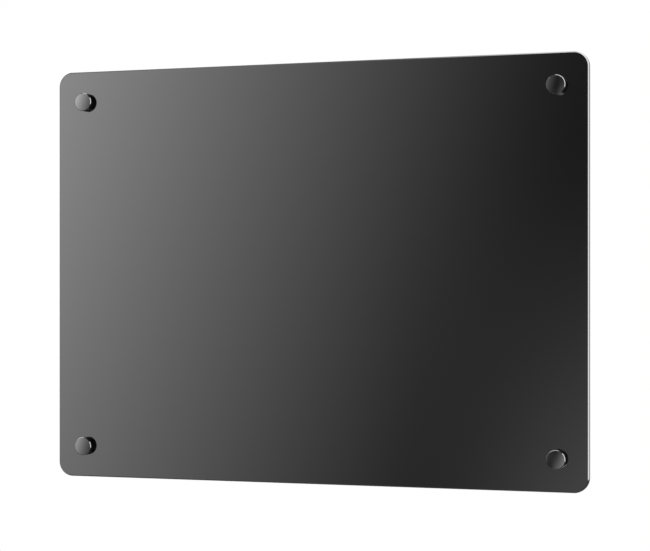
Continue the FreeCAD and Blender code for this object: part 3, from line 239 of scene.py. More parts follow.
finishes = {
    "black_glass": enamelledGlass(),
    "black_lacquer": stovedLacquer(),
    "graphite_powder_coat": powderCoat(),
    "zinc_steel": zincPlate(),
    # pale grey, with fine rings round each post
    "satin_aluminium": linedMetal(
        "turnedAluminiumSatin", "#b4b5b8", "#d2d3d5", 0.32, (9 * mm, 0.4 * mm, 9 * mm)
    ),
    # bright grey, with long streaks from the rolls
    "bright_aluminium": linedMetal(
        "rolledAluminiumBright", "#cacbcd", "#e4e5e6", 0.24, (80 * mm, 2 * mm, 0.8 * mm)
    ),
    # near black, with a soft sheen streaked along its length
    "black_anodised_aluminium": linedMetal(
        "extrudedAluminiumBlackAnodised", "#262628", "#37373a", 0.42, (120 * mm, 0.8 * mm, 0.8 * mm)
    ),
    # warm yellow, with short streaks
    "brass": linedMetal("drawnBrass", "#b48f3e", "#d6b364", 0.28, (0.6 * mm, 8 * mm, 0.6 * mm)),
    # deep black and quite matt
    "black_silicone": mouldedSkin("siliconeRubberBlack", "#0e0e0e", "#171717", 0.6, 0.6 * mm, 0.02 * mm),
    # matt black, greyer where the grain stands up
    "black_rubber": mouldedSkin("mouldedRubberBlack", "#111111", "#1d1d1d", 0.68, 0.8 * mm, 0.06 * mm),
    # cream and white, with a waxy sheen
    "nylon": mouldedSkin("mouldedNylonNatural", "#d3cebf", "#e3dfd3", 0.45, 0.7 * mm, 0.02 * mm),
    "white_nylon": mouldedSkin("mouldedNylonWhite", "#dcd9d0", "#eae8e1", 0.42, 0.7 * mm, 0.02 * mm),
    # charcoal, with a fine sparkle
    "black_plastic": mouldedSkin("mouldedPlasticSparkGrain", "#161617", "#242426", 0.5, 0.9 * mm, 0.09 * mm),
    # wet-looking black, whose highlights have soft edges
    "gloss_black_plastic": mouldedSkin(
        "mouldedPolycarbonateGloss", "#0b0b0c", "#121213", 0.14, 3 * mm, 0.01 * mm, 1.58
    ),
    "amber_lens": amberLens(),
    # chalky off-white
    "white_ceramic": mouldedSkin(
        "pressedSteatiteUnglazed", "#ddd8cb", "#efece4", 0.6, 0.6 * mm, 0.03 * mm, 1.6
    ),
    # brown and blue, with a dull rubbery sheen
    "brown_insulation": mouldedSkin("siliconeSleeveBrown", "#4c2916", "#633820", 0.5, 0.8 * mm, 0.02 * mm),
    "blue_insulation": mouldedSkin("siliconeSleeveBlue", "#23549c", "#3169b8", 0.5, 0.8 * mm, 0.02 * mm),
    "green_insulation": earthSleeve(),
}
# printed marks: flat white ink
printedInk = mouldedSkin("screenInkWhite", "#c9c9c5", "#dededa", 0.55, 0.5 * mm, 0.01 * mm)
for entry in frame["record"]["subparts"]:
    mesh = nodes[entry["node"]].data
    mesh.materials.clear()
    mesh.materials.append(finishes[entry["material_slot"]])
print("finishes:", len(finishes))


def middle(name):
    low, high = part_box(name)
    return (low + high) / 2


def capSpot(corner):
    center = middle("cap_" + corner)
    return center.x, center.z


def newVerts(bm, known):
    return [v for v in bm.verts if v not in known]


def pick(geom, kind):
    return [g for g in geom if isinstance(g, kind)]


# both faces of a plate that faces Y, the front one first
def plateFaces(bm):
    flat = (f for f in bm.faces if abs(f.normal.y) > 0.99)
    return sorted(flat, key=lambda f: f.calc_center_median().y)


# takes a form made at the origin along Z to spot, turned along axis
def standAt(spot, axis):
    aim = Vector((0, 0, 1)).rotation_difference(Vector(axis)).to_matrix().to_4x4()
    return Matrix.Translation(spot) @ aim


# one segment gives a chamfer, more a round
def roundEdges(bm, edges, size, steps):
    bmesh.ops.bevel(
        bm, geom=edges, offset=size, offset_type="OFFSET", affect="EDGES",
        segments=steps, profile=0.5, material=-1,
    )


# ribs round an axis: 1 in each valley, 0 on each ridge
def ribWave(out, count):
    return 0.5 + 0.5 * math.cos(count * math.atan2(out.y, out.x))


def arc(centerRadius, centerHeight, radius, start, end, steps):
    angles = [math.radians(start + (end - start) * i / steps) for i in range(steps + 1)]
    return [(centerRadius + radius * math.cos(a), centerHeight + radius * math.sin(a)) for a in angles]


# spins a profile of (radius, height) points about an axis through spot
def turn(bm, profile, steps, spot, axis, closed=False):
    known = set(bm.verts)
    line = [bm.verts.new((radius, 0, height)) for radius, height in profile]
    edges = [bm.edges.new(pair) for pair in zip(line, line[1:] + line[:1] if closed else line[1:])]
    bmesh.ops.spin(
        bm, geom=line + edges, cent=(0, 0, 0), axis=(0, 0, 1), angle=2 * math.pi, steps=steps, use_merge=True
    )
    bmesh.ops.remove_doubles(bm, verts=newVerts(bm, known), dist=weldGap / 2)
    fresh = newVerts(bm, known)
    bmesh.ops.transform(bm, matrix=standAt(spot, axis), verts=fresh)
    return fresh


# thread of a stud or spigot, as grooves in the profile from top down to bottom
def threadProfile(radius, depth, pitch, top, bottom):
    way = -1 if bottom < top else 1
    count = int(abs(bottom - top) / pitch) - 1
    profile = []
    for i in range(count):
        height = top + way * pitch * (i + 0.75)  # the first three quarters of a turn stay plain
        profile += [(radius, height), (radius - depth, height + way * pitch / 2)]
    return profile


# box whose edges along one axis are rounded
def addBlock(bm, low, high, corner=0.0, along=1, steps=6):
    low, high = Vector(low), Vector(high)
    place = Matrix.Translation((low + high) / 2) @ Matrix.Diagonal((*(high - low), 1))
    cube = bmesh.ops.create_cube(bm, size=1.0, matrix=place)["verts"]
    if corner:
        edges = {e for v in cube for e in v.link_edges}
        rounded = [e for e in edges if abs((e.verts[0].co - e.verts[1].co)[along]) > 0.01 * mm]
        roundEdges(bm, rounded, corner, steps)


# round holes between the two faces of a plate that faces Y
def drill(bm, faces, spots, radius, steps):
    rims = []
    for face in faces:
        outline = list(face.edges)
        depth, normal = face.calc_center_median().y, face.normal.copy()
        bmesh.ops.delete(bm, geom=[face], context="FACES_ONLY")
        for x, z in spots:
            place = Matrix.Translation((x, depth, z)) @ Matrix.Rotation(math.pi / 2, 4, "X")
            ring = bmesh.ops.create_circle(bm, segments=steps, radius=radius, matrix=place)["verts"]
            rims.append(list({e for v in ring for e in v.link_edges}))
            outline += rims[-1]
        bmesh.ops.triangle_fill(bm, edges=outline, normal=normal, use_beauty=True)
    for front, back in zip(rims[:len(spots)], rims[len(spots):]):
        bmesh.ops.bridge_loops(bm, edges=front + back)


def looseObject(name, bm):
    mesh = bpy.data.meshes.new(name)
    bm.to_mesh(mesh)
    bm.free()
    piece = bpy.data.objects.new(name, mesh)
    bpy.context.scene.collection.objects.link(piece)
    return piece


def carve(bm, cutter):
    block, tool = looseObject("block", bm), looseObject("tool", cutter)
    cut = block.modifiers.new("openings", "BOOLEAN")
    cut.operation, cut.solver, cut.object = "DIFFERENCE", "EXACT", tool
    graph = bpy.context.evaluated_depsgraph_get()
    carved = bmesh.new()
    carved.from_object(block, graph)
    for spare in (block, tool):
        bpy.data.meshes.remove(spare.data)
    return carved


def finishPiece(name, bm, slot, body, *replaced, material=None, crease=32):
    bmesh.ops.recalc_face_normals(bm, faces=bm.faces)
    for face in bm.faces:
        face.smooth = True
    for edge in bm.edges:
        edge.smooth = len(edge.link_faces) == 2 and edge.calc_face_angle() < math.radians(crease)
    piece = looseObject(name, bm)
    piece.data.materials.append(material or finishes[slot])
    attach(piece, body)
    if replaced:
        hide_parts(*replaced)


# glass pane
glassSet = {"corner": 16 * mm, "cornerSteps": 32, "arris": 1.2 * mm, "hole": 6 * mm, "holeSteps": 64}


def buildGlass():
    low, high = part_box("glass_panel")
    bm = bmesh.new()
    addBlock(bm, low, high, glassSet["corner"], 1, glassSet["cornerSteps"])
    rims = list({e for f in plateFaces(bm) for e in f.edges})
    roundEdges(bm, rims, glassSet["arris"], 1)
    spots = [capSpot(corner) for corner in corners]
    drill(bm, plateFaces(bm), spots, glassSet["hole"], glassSet["holeSteps"])
    finishPiece("glassPane", bm, "black_glass", "heater", "glass_panel")


buildGlass()

# standoff caps with their studs
capSet = {
    "radius": 10 * mm, "dome": 0.3 * mm, "edge": 0.6 * mm, "foot": 0.3 * mm,
    "stud": 3 * mm, "neck": 2 * mm, "pitch": 1 * mm, "threadDepth": 0.4 * mm, "rings": 10, "steps": 112,
}


def buildCap(corner):
    low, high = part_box("cap_" + corner)
    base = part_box("cap_washer_" + corner)[0].y
    x, z = capSpot(corner)
    radius, edge, foot, stud = (capSet[k] for k in ("radius", "edge", "foot", "stud"))
    head, end, core = base - low.y, base - high.y, stud - capSet["threadDepth"]
    shoulder = radius - edge
    crown = [shoulder * i / capSet["rings"] for i in range(capSet["rings"] + 1)]
    profile = [(r, head - capSet["dome"] * (r / radius)**2) for r in crown]
    profile += [(radius, profile[-1][1] - edge), (radius, foot), (radius - foot, 0)]
    profile += [(stud, 0), (stud, -capSet["neck"])]
    profile += threadProfile(stud, capSet["threadDepth"], capSet["pitch"], -capSet["neck"], end)
    profile += [(core, end), (0, end)]
    bm = bmesh.new()
    turn(bm, profile, capSet["steps"], (x, base, z), (0, -1, 0))
    finishPiece("standoffCap_" + corner, bm, "black_lacquer", "cap_" + corner, "cap_" + corner)


# rings that keep the metal off the glass, and the posts behind it
ringSet = {
    "bore": 3.2 * mm, "front": 9 * mm, "rear": 7 * mm, "sleeve": 5.8 * mm, "edge": 0.25 * mm, "steps": 72,
}
postSet = {
    "radius": 7 * mm, "length": 12 * mm, "bore": 3.05 * mm, "chamfer": 0.7 * mm, "spigot": 5 * mm,
    "grooves": (3.2 * mm, 8.8 * mm), "grooveWidth": 1.2 * mm, "grooveDepth": 0.45 * mm,
    "relief": 1.2 * mm, "pitch": 1 * mm, "threadDepth": 0.4 * mm, "steps": 72,
}


def addRing(bm, outer, front, back, x, z):
    edge, length = ringSet["edge"], back - front
    profile = [
        (ringSet["bore"], 0), (outer - edge, 0), (outer, edge), (outer, length - edge),
        (outer - edge, length), (ringSet["bore"], length),
    ]
    turn(bm, profile, ringSet["steps"], (x, front, z), (0, 1, 0), closed=True)


def addPost(bm, front, back, x, z):
    radius, chamfer, length = postSet["radius"], postSet["chamfer"], postSet["length"]
    profile = [(postSet["bore"], 0), (radius - chamfer, 0), (radius, chamfer)]
    for place in postSet["grooves"]:
        half, floorRadius = postSet["grooveWidth"] / 2, radius - postSet["grooveDepth"]
        profile += [(radius, place - half), (floorRadius, place - half / 2)]
        profile += [(floorRadius, place + half / 2), (radius, place + half)]
    spigot, depth, end = postSet["spigot"], postSet["threadDepth"], back - front
    profile += [(radius, length - chamfer), (radius - chamfer, length), (spigot, length)]
    profile += threadProfile(spigot, depth, postSet["pitch"], length + postSet["relief"], end)
    profile += [(spigot - depth, end), (postSet["bore"], end)]
    turn(bm, profile, postSet["steps"], (x, front, z), (0, 1, 0), closed=True)


def buildFixings():
    shared = {"glass_sleeves": "nylon", "rear_washers": "black_silicone", "standoff_posts": "satin_aluminium"}
    meshes = {node: bmesh.new() for node in shared}
    for corner in corners:
        buildCap(corner)
        x, z = capSpot(corner)
        washer = "cap_washer_" + corner
        bm = bmesh.new()
        addRing(bm, ringSet["front"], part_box(washer)[0].y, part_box(washer)[1].y, x, z)
        finishPiece("capWasher_" + corner, bm, "black_silicone", "washer_" + corner, washer)
        for node, outer in (("glass_sleeves", ringSet["sleeve"]), ("rear_washers", ringSet["rear"])):
            addRing(meshes[node], outer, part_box(node)[0].y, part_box(node)[1].y, x, z)
        low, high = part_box("standoff_posts")
        addPost(meshes["standoff_posts"], low.y, high.y, x, z)
    for node, name in (("glass_sleeves", "glassSleeves"), ("rear_washers", "rearWashers"),
                       ("standoff_posts", "standoffPosts")):
        finishPiece(name, meshes[node], shared[node], "heater", node)


buildFixings()
print("glass and fixings done")

# rear casing, folded from one sheet
casingSet = {
    "corner": 14 * mm, "cornerSteps": 10, "bend": 3 * mm, "bendSteps": 4, "sheet": 1.2 * mm,
    "ventWidth": 5 * mm, "ventLength": 30 * mm, "ventCorner": 2 * mm, "ventPitch": 10 * mm,
    "ventStart": 30 * mm, "ventEnd": 20 * mm, "windowWidth": 28 * mm, "windowHeight": 19 * mm,
    "hookSpacing": 160 * mm, "railTop": 30 * mm, "stemHole": 3.2 * mm, "screwHole": 2.15 * mm,
    "windowCorner": 1 * mm, "skirtRoom": 3.2 * mm, "glandHole": 7.7 * mm, "holeSteps": 32,
}


def addCutRod(bm, center, radius, length, axis):
    bmesh.ops.create_cone(
        bm, cap_ends=True, segments=casingSet["holeSteps"], radius1=radius, radius2=radius, depth=length,
        matrix=standAt(center, axis),
    )


def casingOpenings(low, high):
    through, mid = 4 * casingSet["sheet"], (low + high) / 2
    bm = bmesh.new()
    fasciaLow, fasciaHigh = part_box("control_fascia")
    start = low.x + casingSet["ventStart"]
    count = int((fasciaLow.x - casingSet["ventEnd"] - start) / casingSet["ventPitch"]) + 1
    reach = Vector((casingSet["ventWidth"] / 2, casingSet["ventLength"] / 2, (high.z - low.z) / 2 + through))
    for i in range(count):
        spot = Vector((start + i * casingSet["ventPitch"], mid.y, mid.z))
        addBlock(bm, spot - reach, spot + reach, casingSet["ventCorner"], along=2, steps=3)
    for rail in ("upper_wall_rail", "lower_wall_rail"):
        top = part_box(rail)[0].z + casingSet["railTop"]
        for side in (-1, 1):
            spot = Vector((side * casingSet["hookSpacing"] / 2, high.y, top - casingSet["windowHeight"] / 2))
            reach = Vector((casingSet["windowWidth"] / 2, through, casingSet["windowHeight"] / 2))
            addBlock(bm, spot - reach, spot + reach, casingSet["windowCorner"], along=1, steps=2)
    room = casingSet["skirtRoom"]
    addBlock(bm, (fasciaLow.x + room, fasciaLow.y + room, high.z - through),
             (fasciaHigh.x - room, fasciaHigh.y - room, high.z + through))
    gland = middle("gland_body")
    addCutRod(bm, (gland.x, gland.y, low.z), casingSet["glandHole"], 2 * through, (0, 0, 1))
    spacerLow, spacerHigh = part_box("wall_spacers")
    half = (spacerHigh.z - spacerLow.z) / 2
    for x in (spacerLow.x + half, spacerHigh.x - half):
        addCutRod(bm, (x, high.y, spacerLow.z + half), casingSet["stemHole"], 2 * through, (0, 1, 0))
    for x, y, z in screwSpots():
        addCutRod(bm, (math.copysign(high.x, x), y, z), casingSet["screwHole"], 2 * through, (1, 0, 0))
    return bm


def screwSpots():
    low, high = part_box("plate_screws")
    half = (high.y - low.y) / 2
    rows = (low.z + half, (low.z + high.z) / 2, high.z - half)
    return [(x, low.y + half, z) for x in (low.x, high.x) for z in rows]


def buildCasing():
    low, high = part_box("rear_casing")
    bm = bmesh.new()
    addBlock(bm, low, high, casingSet["corner"], 1, casingSet["cornerSteps"])
    back = max(bm.faces, key=lambda f: f.calc_center_median().y)
    roundEdges(bm, list(back.edges), casingSet["bend"], casingSet["bendSteps"])
    front = min(bm.faces, key=lambda f: f.calc_center_median().y)
    bmesh.ops.delete(bm, geom=[front], context="FACES_ONLY")
    bmesh.ops.recalc_face_normals(bm, faces=bm.faces)
    bmesh.ops.solidify(bm, geom=bm.faces[:], thickness=casingSet["sheet"])
    folded = carve(bm, casingOpenings(low, high))
    finishPiece("rearCasing", folded, "graphite_powder_coat", "heater", "rear_casing")


buildCasing()

# side screws: pan head with a cross recess
screwSet = {
    "head": 3.5 * mm, "headHeight": 2.2 * mm, "flat": 2.3 * mm, "shank": 1.95 * mm, "length": 8 * mm,
    "pitch": 1.4 * mm, "threadDepth": 0.5 * mm, "slotReach": 1.7 * mm, "slotHalf": 0.36 * mm,
    "slotDepth": 1.1 * mm, "slotTaper": 0.6, "edge": 0.2 * mm, "steps": 24,
}


def addScrew(bm, spot, axis):
    known = set(bm.verts)
    head, height, flat, shank, edge = (screwSet[k] for k in ("head", "headHeight", "flat", "shank", "edge"))
    shoulder = arc(flat, height - (head - flat), head - flat, 90, 0, 5)
    profile = shoulder + [(head, edge), (head - edge, 0), (shank, 0)]
    profile += threadProfile(shank, screwSet["threadDepth"], screwSet["pitch"], 0, -screwSet["length"])
    profile += [(0, -screwSet["length"])]
    turn(bm, profile, screwSet["steps"], (0, 0, 0), (0, 0, 1))
    ring = bmesh.ops.create_circle(
        bm, segments=screwSet["steps"], radius=flat, matrix=Matrix.Translation((0, 0, height))
    )["verts"]
    reach, half = screwSet["slotReach"], screwSet["slotHalf"]
    quarter = [(reach, -half), (reach, half), (half, half)]
    cross = []
    for i in range(4):
        spin = Matrix.Rotation(i * math.pi / 2, 2)
        cross += [bm.verts.new((*(spin @ Vector(point)), height)) for point in quarter]
    slot = [bm.edges.new(pair) for pair in zip(cross, cross[1:] + cross[:1])]
    edges = list({e for v in ring for e in v.link_edges}) + slot
    bmesh.ops.triangle_fill(bm, edges=edges, normal=(0, 0, 1), use_beauty=True)
    sunk = bmesh.ops.extrude_edge_only(bm, edges=slot)["geom"]
    floorVerts, taper = pick(sunk, bmesh.types.BMVert), screwSet["slotTaper"]
    bmesh.ops.scale(bm, vec=(taper, taper, 1), verts=floorVerts)
    bmesh.ops.translate(bm, vec=(0, 0, -screwSet["slotDepth"]), verts=floorVerts)
    floorEdges = pick(sunk, bmesh.types.BMEdge)
    bmesh.ops.triangle_fill(bm, edges=floorEdges, normal=(0, 0, 1), use_beauty=True)
    bmesh.ops.remove_doubles(bm, verts=newVerts(bm, known), dist=weldGap)
    bmesh.ops.transform(bm, matrix=standAt(spot, axis), verts=newVerts(bm, known))


def buildScrews():
    bm = bmesh.new()
    for x, y, z in screwSpots():
        side = math.copysign(1, x)
        addScrew(bm, (x - side * screwSet["headHeight"], y, z), (side, 0, 0))
    finishPiece("plateScrews", bm, "zinc_steel", "heater", "plate_screws")


buildScrews()

# wall rails: strip with two screw holes and two hooks bent out of it
railSet = {
    "height": 30 * mm, "sheet": 1.5 * mm, "corner": 5 * mm, "hole": 2.75 * mm, "holeEnd": 20 * mm,
    "holeSteps": 32, "hookSpacing": 160 * mm, "hookWidth": 24 * mm, "hookCorner": 3 * mm,
    "hookCornerSteps": 5, "bend": 0.6 * mm, "bendSteps": 6,
}


def addHook(bm, x, low, high):
    sheet, bend = railSet["sheet"], railSet["bend"]
    top = low.z + railSet["height"]
    half = railSet["hookWidth"] / 2
    start = [(x - half, top - sheet), (x + half, top - sheet), (x + half, top), (x - half, top)]
    face = bm.faces.new([bm.verts.new((u, -sheet / 2, w)) for u, w in start])
    knee = low.y + sheet + bend
    leg = bmesh.ops.extrude_face_region(bm, geom=[face])["geom"]
    bmesh.ops.translate(bm, vec=(0, knee + sheet / 2, 0), verts=pick(leg, bmesh.types.BMVert))
    inner = pick(leg, bmesh.types.BMFace)
    turned = bmesh.ops.spin(
        bm, geom=inner, cent=(0, knee, top + bend), axis=(-1, 0, 0), angle=math.pi / 2,
        steps=railSet["bendSteps"],
    )["geom_last"]
    tip = pick(turned, bmesh.types.BMFace)
    inner += tip
    lip = bmesh.ops.extrude_face_region(bm, geom=tip)["geom"]
    ends = pick(lip, bmesh.types.BMVert)
    bmesh.ops.translate(bm, vec=(0, 0, high.z - top - bend), verts=ends)
    rounded = [
        e for v in ends for e in v.link_edges
        if abs((e.verts[0].co - e.verts[1].co).y) > 0.5 * sheet and e.other_vert(v) in ends
    ]
    roundEdges(bm, list(set(rounded)), railSet["hookCorner"], railSet["hookCornerSteps"])
    bmesh.ops.delete(bm, geom=[f for f in inner if f.is_valid], context="FACES_ONLY")


def buildRail(level):
    node = level + "_wall_rail"
    low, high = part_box(node)
    bm = bmesh.new()
    top = low.z + railSet["height"]
    addBlock(bm, (low.x, -railSet["sheet"], low.z), (high.x, 0, top), railSet["corner"], along=1, steps=6)
    mid = low.z + railSet["height"] / 2
    spots = [(low.x + railSet["holeEnd"], mid), (high.x - railSet["holeEnd"], mid)]
    drill(bm, plateFaces(bm), spots, railSet["hole"], railSet["holeSteps"])
    for side in (-1, 1):
        addHook(bm, side * railSet["hookSpacing"] / 2, low, high)
    finishPiece(level + "WallRail", bm, "zinc_steel", "wall_rails", node)


buildRail("upper")
buildRail("lower")

# rubber wall spacers: a ribbed foot on a stem that snaps into the casing
spacerSet = {
    "base": 9 * mm, "tip": 7 * mm, "stem": 3 * mm, "stemLength": 4 * mm, "edge": 1 * mm,
    "grooves": 3, "grooveWidth": 1.8 * mm, "grooveDepth": 0.9 * mm, "steps": 56,
}


def buildSpacers():
    low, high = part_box("wall_spacers")
    base, tip, stem, edge = (spacerSet[k] for k in ("base", "tip", "stem", "edge"))
    foot, end = spacerSet["stemLength"], high.y - low.y
    profile = [(0, 0), (stem - edge, 0), (stem, edge), (stem, foot)]
    profile += [(base - edge / 2, foot), (base, foot + edge / 2)]
    for i in range(spacerSet["grooves"]):
        place = foot + (end - foot) * (i + 1) / (spacerSet["grooves"] + 1)
        for offset, sunk in ((-0.5, 0), (-0.25, 1), (0.25, 1), (0.5, 0)):
            height = place + offset * spacerSet["grooveWidth"]
            taper = base + (tip - base) * (height - foot) / (end - foot)
            profile.append((taper - sunk * spacerSet["grooveDepth"], height))
    profile += arc(tip - edge, end - edge, edge, 0, 90, 4) + [(0, end)]
    bm = bmesh.new()
    for x in (low.x + base, high.x - base):
        turn(bm, profile, spacerSet["steps"], (x, low.y, low.z + base), (0, 1, 0))
    finishPiece("wallSpacers", bm, "black_rubber", "heater", "wall_spacers")


buildSpacers()
print("body, rails and spacers done")

# thermostat knob: fluted grip over a plain skirt, with a white pointer let into its top
knobSet = {
    "radius": 14 * mm, "height": 14 * mm, "skirt": 3 * mm, "skirtEdge": 0.4 * mm, "chamfer": 0.3 * mm,
    "edge": 1.2 * mm, "recess": 9 * mm, "recessTop": 5.5 * mm, "bore": 3.05 * mm, "boreTop": 11.4 * mm,
    "gripInset": 0.5 * mm, "gripStart": 0.1 * mm, "gripFull": 0.5 * mm, "gripTaper": 0.2 * mm,
    "flutes": 24, "fluteDepth": 0.8 * mm, "fluteStart": 0.2 * mm, "fluteReach": 0.85, "stepsPerFlute": 8,
    "pointerWidth": 1.6 * mm, "pointerStart": 4 * mm, "pointerEnd": 0.8 * mm, "pointerDepth": 1 * mm,
    "pointerProud": 0.1 * mm, "pointerRound": 0.9, "restTurn": 225,
}


def buildKnob():
    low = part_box("thermostat_knob")[0]
    axisSpot = Vector((middle("thermostat_knob").x, middle("thermostat_knob").y, low.z))
    radius, height, edge, skirt = (knobSet[k] for k in ("radius", "height", "edge", "skirt"))
    bore, boreTop, recess, recessTop = (knobSet[k] for k in ("bore", "boreTop", "recess", "recessTop"))
    chamfer, grip = knobSet["chamfer"], radius - knobSet["gripInset"]
    crest = grip - knobSet["gripTaper"]
    profile = [
        (0, boreTop), (bore, boreTop), (bore, recessTop), (recess, recessTop), (recess, 0),
        (radius - chamfer, 0), (radius, chamfer), (radius, skirt - knobSet["skirtEdge"]),
        (radius - chamfer, skirt), (grip, skirt + knobSet["gripStart"]), (grip, skirt + knobSet["gripFull"]),
        (crest, height - edge),
    ]
    profile += arc(crest - edge, height - edge, edge, 0, 90, 5)[1:]
    profile += [(grip / 2, height), (0, height)]
    bm = bmesh.new()
    grown = turn(bm, profile, knobSet["flutes"] * knobSet["stepsPerFlute"], axisSpot, (0, 0, 1))
    for v in grown:
        out = Vector((v.co.x - axisSpot.x, v.co.y - axisSpot.y))
        if v.co.z - low.z > skirt + knobSet["fluteStart"] and out.length > grip * knobSet["fluteReach"]:
            pull = out.normalized() * knobSet["fluteDepth"] * ribWave(out, knobSet["flutes"])**2
            v.co.x -= pull.x
            v.co.y -= pull.y
    finishPiece("thermostatKnob", bm, "black_plastic", "knob", "thermostat_knob")
    bm = bmesh.new()
    half = knobSet["pointerWidth"] / 2
    start = (knobSet["pointerStart"], -half, height - knobSet["pointerDepth"])
    end = (grip - edge - knobSet["pointerEnd"], half, height + knobSet["pointerProud"])
    addBlock(bm, start, end, half * knobSet["pointerRound"], along=2, steps=6)
    swing = Matrix.Rotation(math.radians(knobSet["restTurn"]), 4, "Z")
    bmesh.ops.transform(bm, matrix=Matrix.Translation(axisSpot) @ swing, verts=bm.verts)
    finishPiece("knobPointer", bm, "white_nylon", "knob")


buildKnob()

# dial printed on the fascia: a tick every 22.5 degrees and the numbers 0 to 6
dialSet = {
    "inner": 15 * mm, "outer": 16.4 * mm, "outerLong": 17 * mm, "tickWidth": 0.35 * mm, "ink": 0.08 * mm,
    "numberAt": 18.7 * mm, "numberSize": 2.9 * mm, "numbers": 7, "start": 225, "sweep": 270,
}


def flatText(text, size, thickness):
    curve = bpy.data.curves.new("lettering", "FONT")
    curve.body, curve.size, curve.extrude = text, size, thickness / 2
    curve.align_x, curve.align_y = "CENTER", "CENTER"
    holder = bpy.data.objects.new("lettering", curve)
    bpy.context.scene.collection.objects.link(holder)
    mesh = bpy.data.meshes.new_from_object(holder.evaluated_get(bpy.context.evaluated_depsgraph_get()))
    bpy.data.curves.remove(curve)
    return mesh


def buildDial():
    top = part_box("control_fascia")[1].z
    center = Vector((middle("thermostat_knob").x, middle("thermostat_knob").y, top))
    ink, half = dialSet["ink"], dialSet["tickWidth"] / 2
    bm = bmesh.new()
    ticks = 2 * (dialSet["numbers"] - 1)
    for i in range(ticks + 1):
        outer = dialSet["outer"] if i % 2 else dialSet["outerLong"]
        known = set(bm.verts)
        addBlock(bm, (dialSet["inner"], -half, -ink / 2), (outer, half, ink))
        swing = Matrix.Rotation(math.radians(dialSet["start"] - dialSet["sweep"] * i / ticks), 4, "Z")
        bmesh.ops.transform(bm, matrix=Matrix.Translation(center) @ swing, verts=newVerts(bm, known))
    for i in range(dialSet["numbers"]):
        mesh = flatText(str(i), dialSet["numberSize"], ink)
        angle = math.radians(dialSet["start"] - dialSet["sweep"] * i / (dialSet["numbers"] - 1))
        out = Vector((math.cos(angle), math.sin(angle), 0)) * dialSet["numberAt"]
        mesh.transform(Matrix.Translation(center + out + Vector((0, 0, ink / 2))))
        bm.from_mesh(mesh)
        bpy.data.meshes.remove(mesh)
    bmesh.ops.remove_doubles(bm, verts=bm.verts, dist=weldGap)
    finishPiece("dialMarks", bm, "white_nylon", "heater", material=printedInk)


buildDial()

# rocker with a dished top, O on the end that is down at rest and I on the other
rockerSet = {
    "half": 7.75 * mm, "foot": 6.55 * mm, "drop": 3 * mm, "rise": 2.4 * mm, "dip": 1.2 * mm,
    "width": 10.3 * mm, "tilt": 10, "pin": 1 * mm, "pinSteps": 24, "edge": 0.35 * mm, "edgeSteps": 3,
    "sharpFrom": 35, "topSteps": 12, "markAt": 4.7 * mm, "markSize": 1.5 * mm, "markLine": 0.4 * mm,
    "markSteps": 40, "ink": 0.08 * mm,
}


def rockerPlace():
    for joint in frame["joints"]:
        if joint["name"] == "switch_press":
            tilt = Matrix.Rotation(math.radians(-rockerSet["tilt"]), 4, "Y")
            return Matrix.Translation(joint["pos_m"]) @ tilt


def rockerTop(x):
    return rockerSet["dip"] + (rockerSet["rise"] - rockerSet["dip"]) * (x / rockerSet["half"])**2


def buildRocker():
    half, drop, width = rockerSet["half"], rockerSet["drop"], rockerSet["width"]
    steps = rockerSet["topSteps"]
    top = [half - 2 * half * i / steps for i in range(steps + 1)]
    outline = [(-rockerSet["foot"], -drop), (rockerSet["foot"], -drop)] + [(x, rockerTop(x)) for x in top]
    bm = bmesh.new()
    face = bm.faces.new([bm.verts.new((x, -width / 2, z)) for x, z in outline])
    grown = bmesh.ops.extrude_face_region(bm, geom=[face])["geom"]
    bmesh.ops.translate(bm, vec=(0, width, 0), verts=pick(grown, bmesh.types.BMVert))
    bmesh.ops.recalc_face_normals(bm, faces=bm.faces)
    sharp = [e for e in bm.edges if e.calc_face_angle() > math.radians(rockerSet["sharpFrom"])]
    roundEdges(bm, sharp, rockerSet["edge"], rockerSet["edgeSteps"])
    low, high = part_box("switch_rocker")
    pin, reach = rockerSet["pin"], high.y - low.y
    profile = [(0, 0), (pin, 0), (pin, reach), (0, reach)]
    turn(bm, profile, rockerSet["pinSteps"], (0, -reach / 2, 0), (0, 1, 0))
    bmesh.ops.transform(bm, matrix=rockerPlace(), verts=bm.verts)
    finishPiece("switchRocker", bm, "gloss_black_plastic", "rocker", "switch_rocker")


def buildRockerMarks():
    size, line, ink = rockerSet["markSize"], rockerSet["markLine"], rockerSet["ink"]
    bm = bmesh.new()
    for side in (-1, 1):
        known = set(bm.verts)
        if side < 0:
            ring = [(size - line, 0), (size, 0), (size, 2 * ink), (size - line, 2 * ink)]
            turn(bm, ring, rockerSet["markSteps"], (0, 0, -ink), (0, 0, 1), closed=True)
        else:
            addBlock(bm, (-line / 2, -size, -ink), (line / 2, size, ink))
        spot = side * rockerSet["markAt"]
        slope = 2 * (rockerSet["rise"] - rockerSet["dip"]) * spot / rockerSet["half"]**2
        place = Matrix.Translation((spot, 0, rockerTop(spot))) @ Matrix.Rotation(-math.atan(slope), 4, "Y")
        bmesh.ops.transform(bm, matrix=rockerPlace() @ place, verts=newVerts(bm, known))
    finishPiece("rockerMarks", bm, "white_nylon", "rocker", material=printedInk)


buildRocker()
buildRockerMarks()

# pilot lamp: ribbed amber lens in a thin black collar
lampSet = {
    "stem": 4 * mm, "stemLength": 16 * mm, "rim": 5.2 * mm, "rimHeight": 1.2 * mm, "rimEdge": 0.5 * mm,
    "rimFit": 0.02 * mm, "rimSteps": 56, "domeStart": 0.6, "domeSteps": 7,
    "ribs": 20, "ribDepth": 0.16 * mm, "ribReach": 0.2, "stepsPerRib": 4,
}


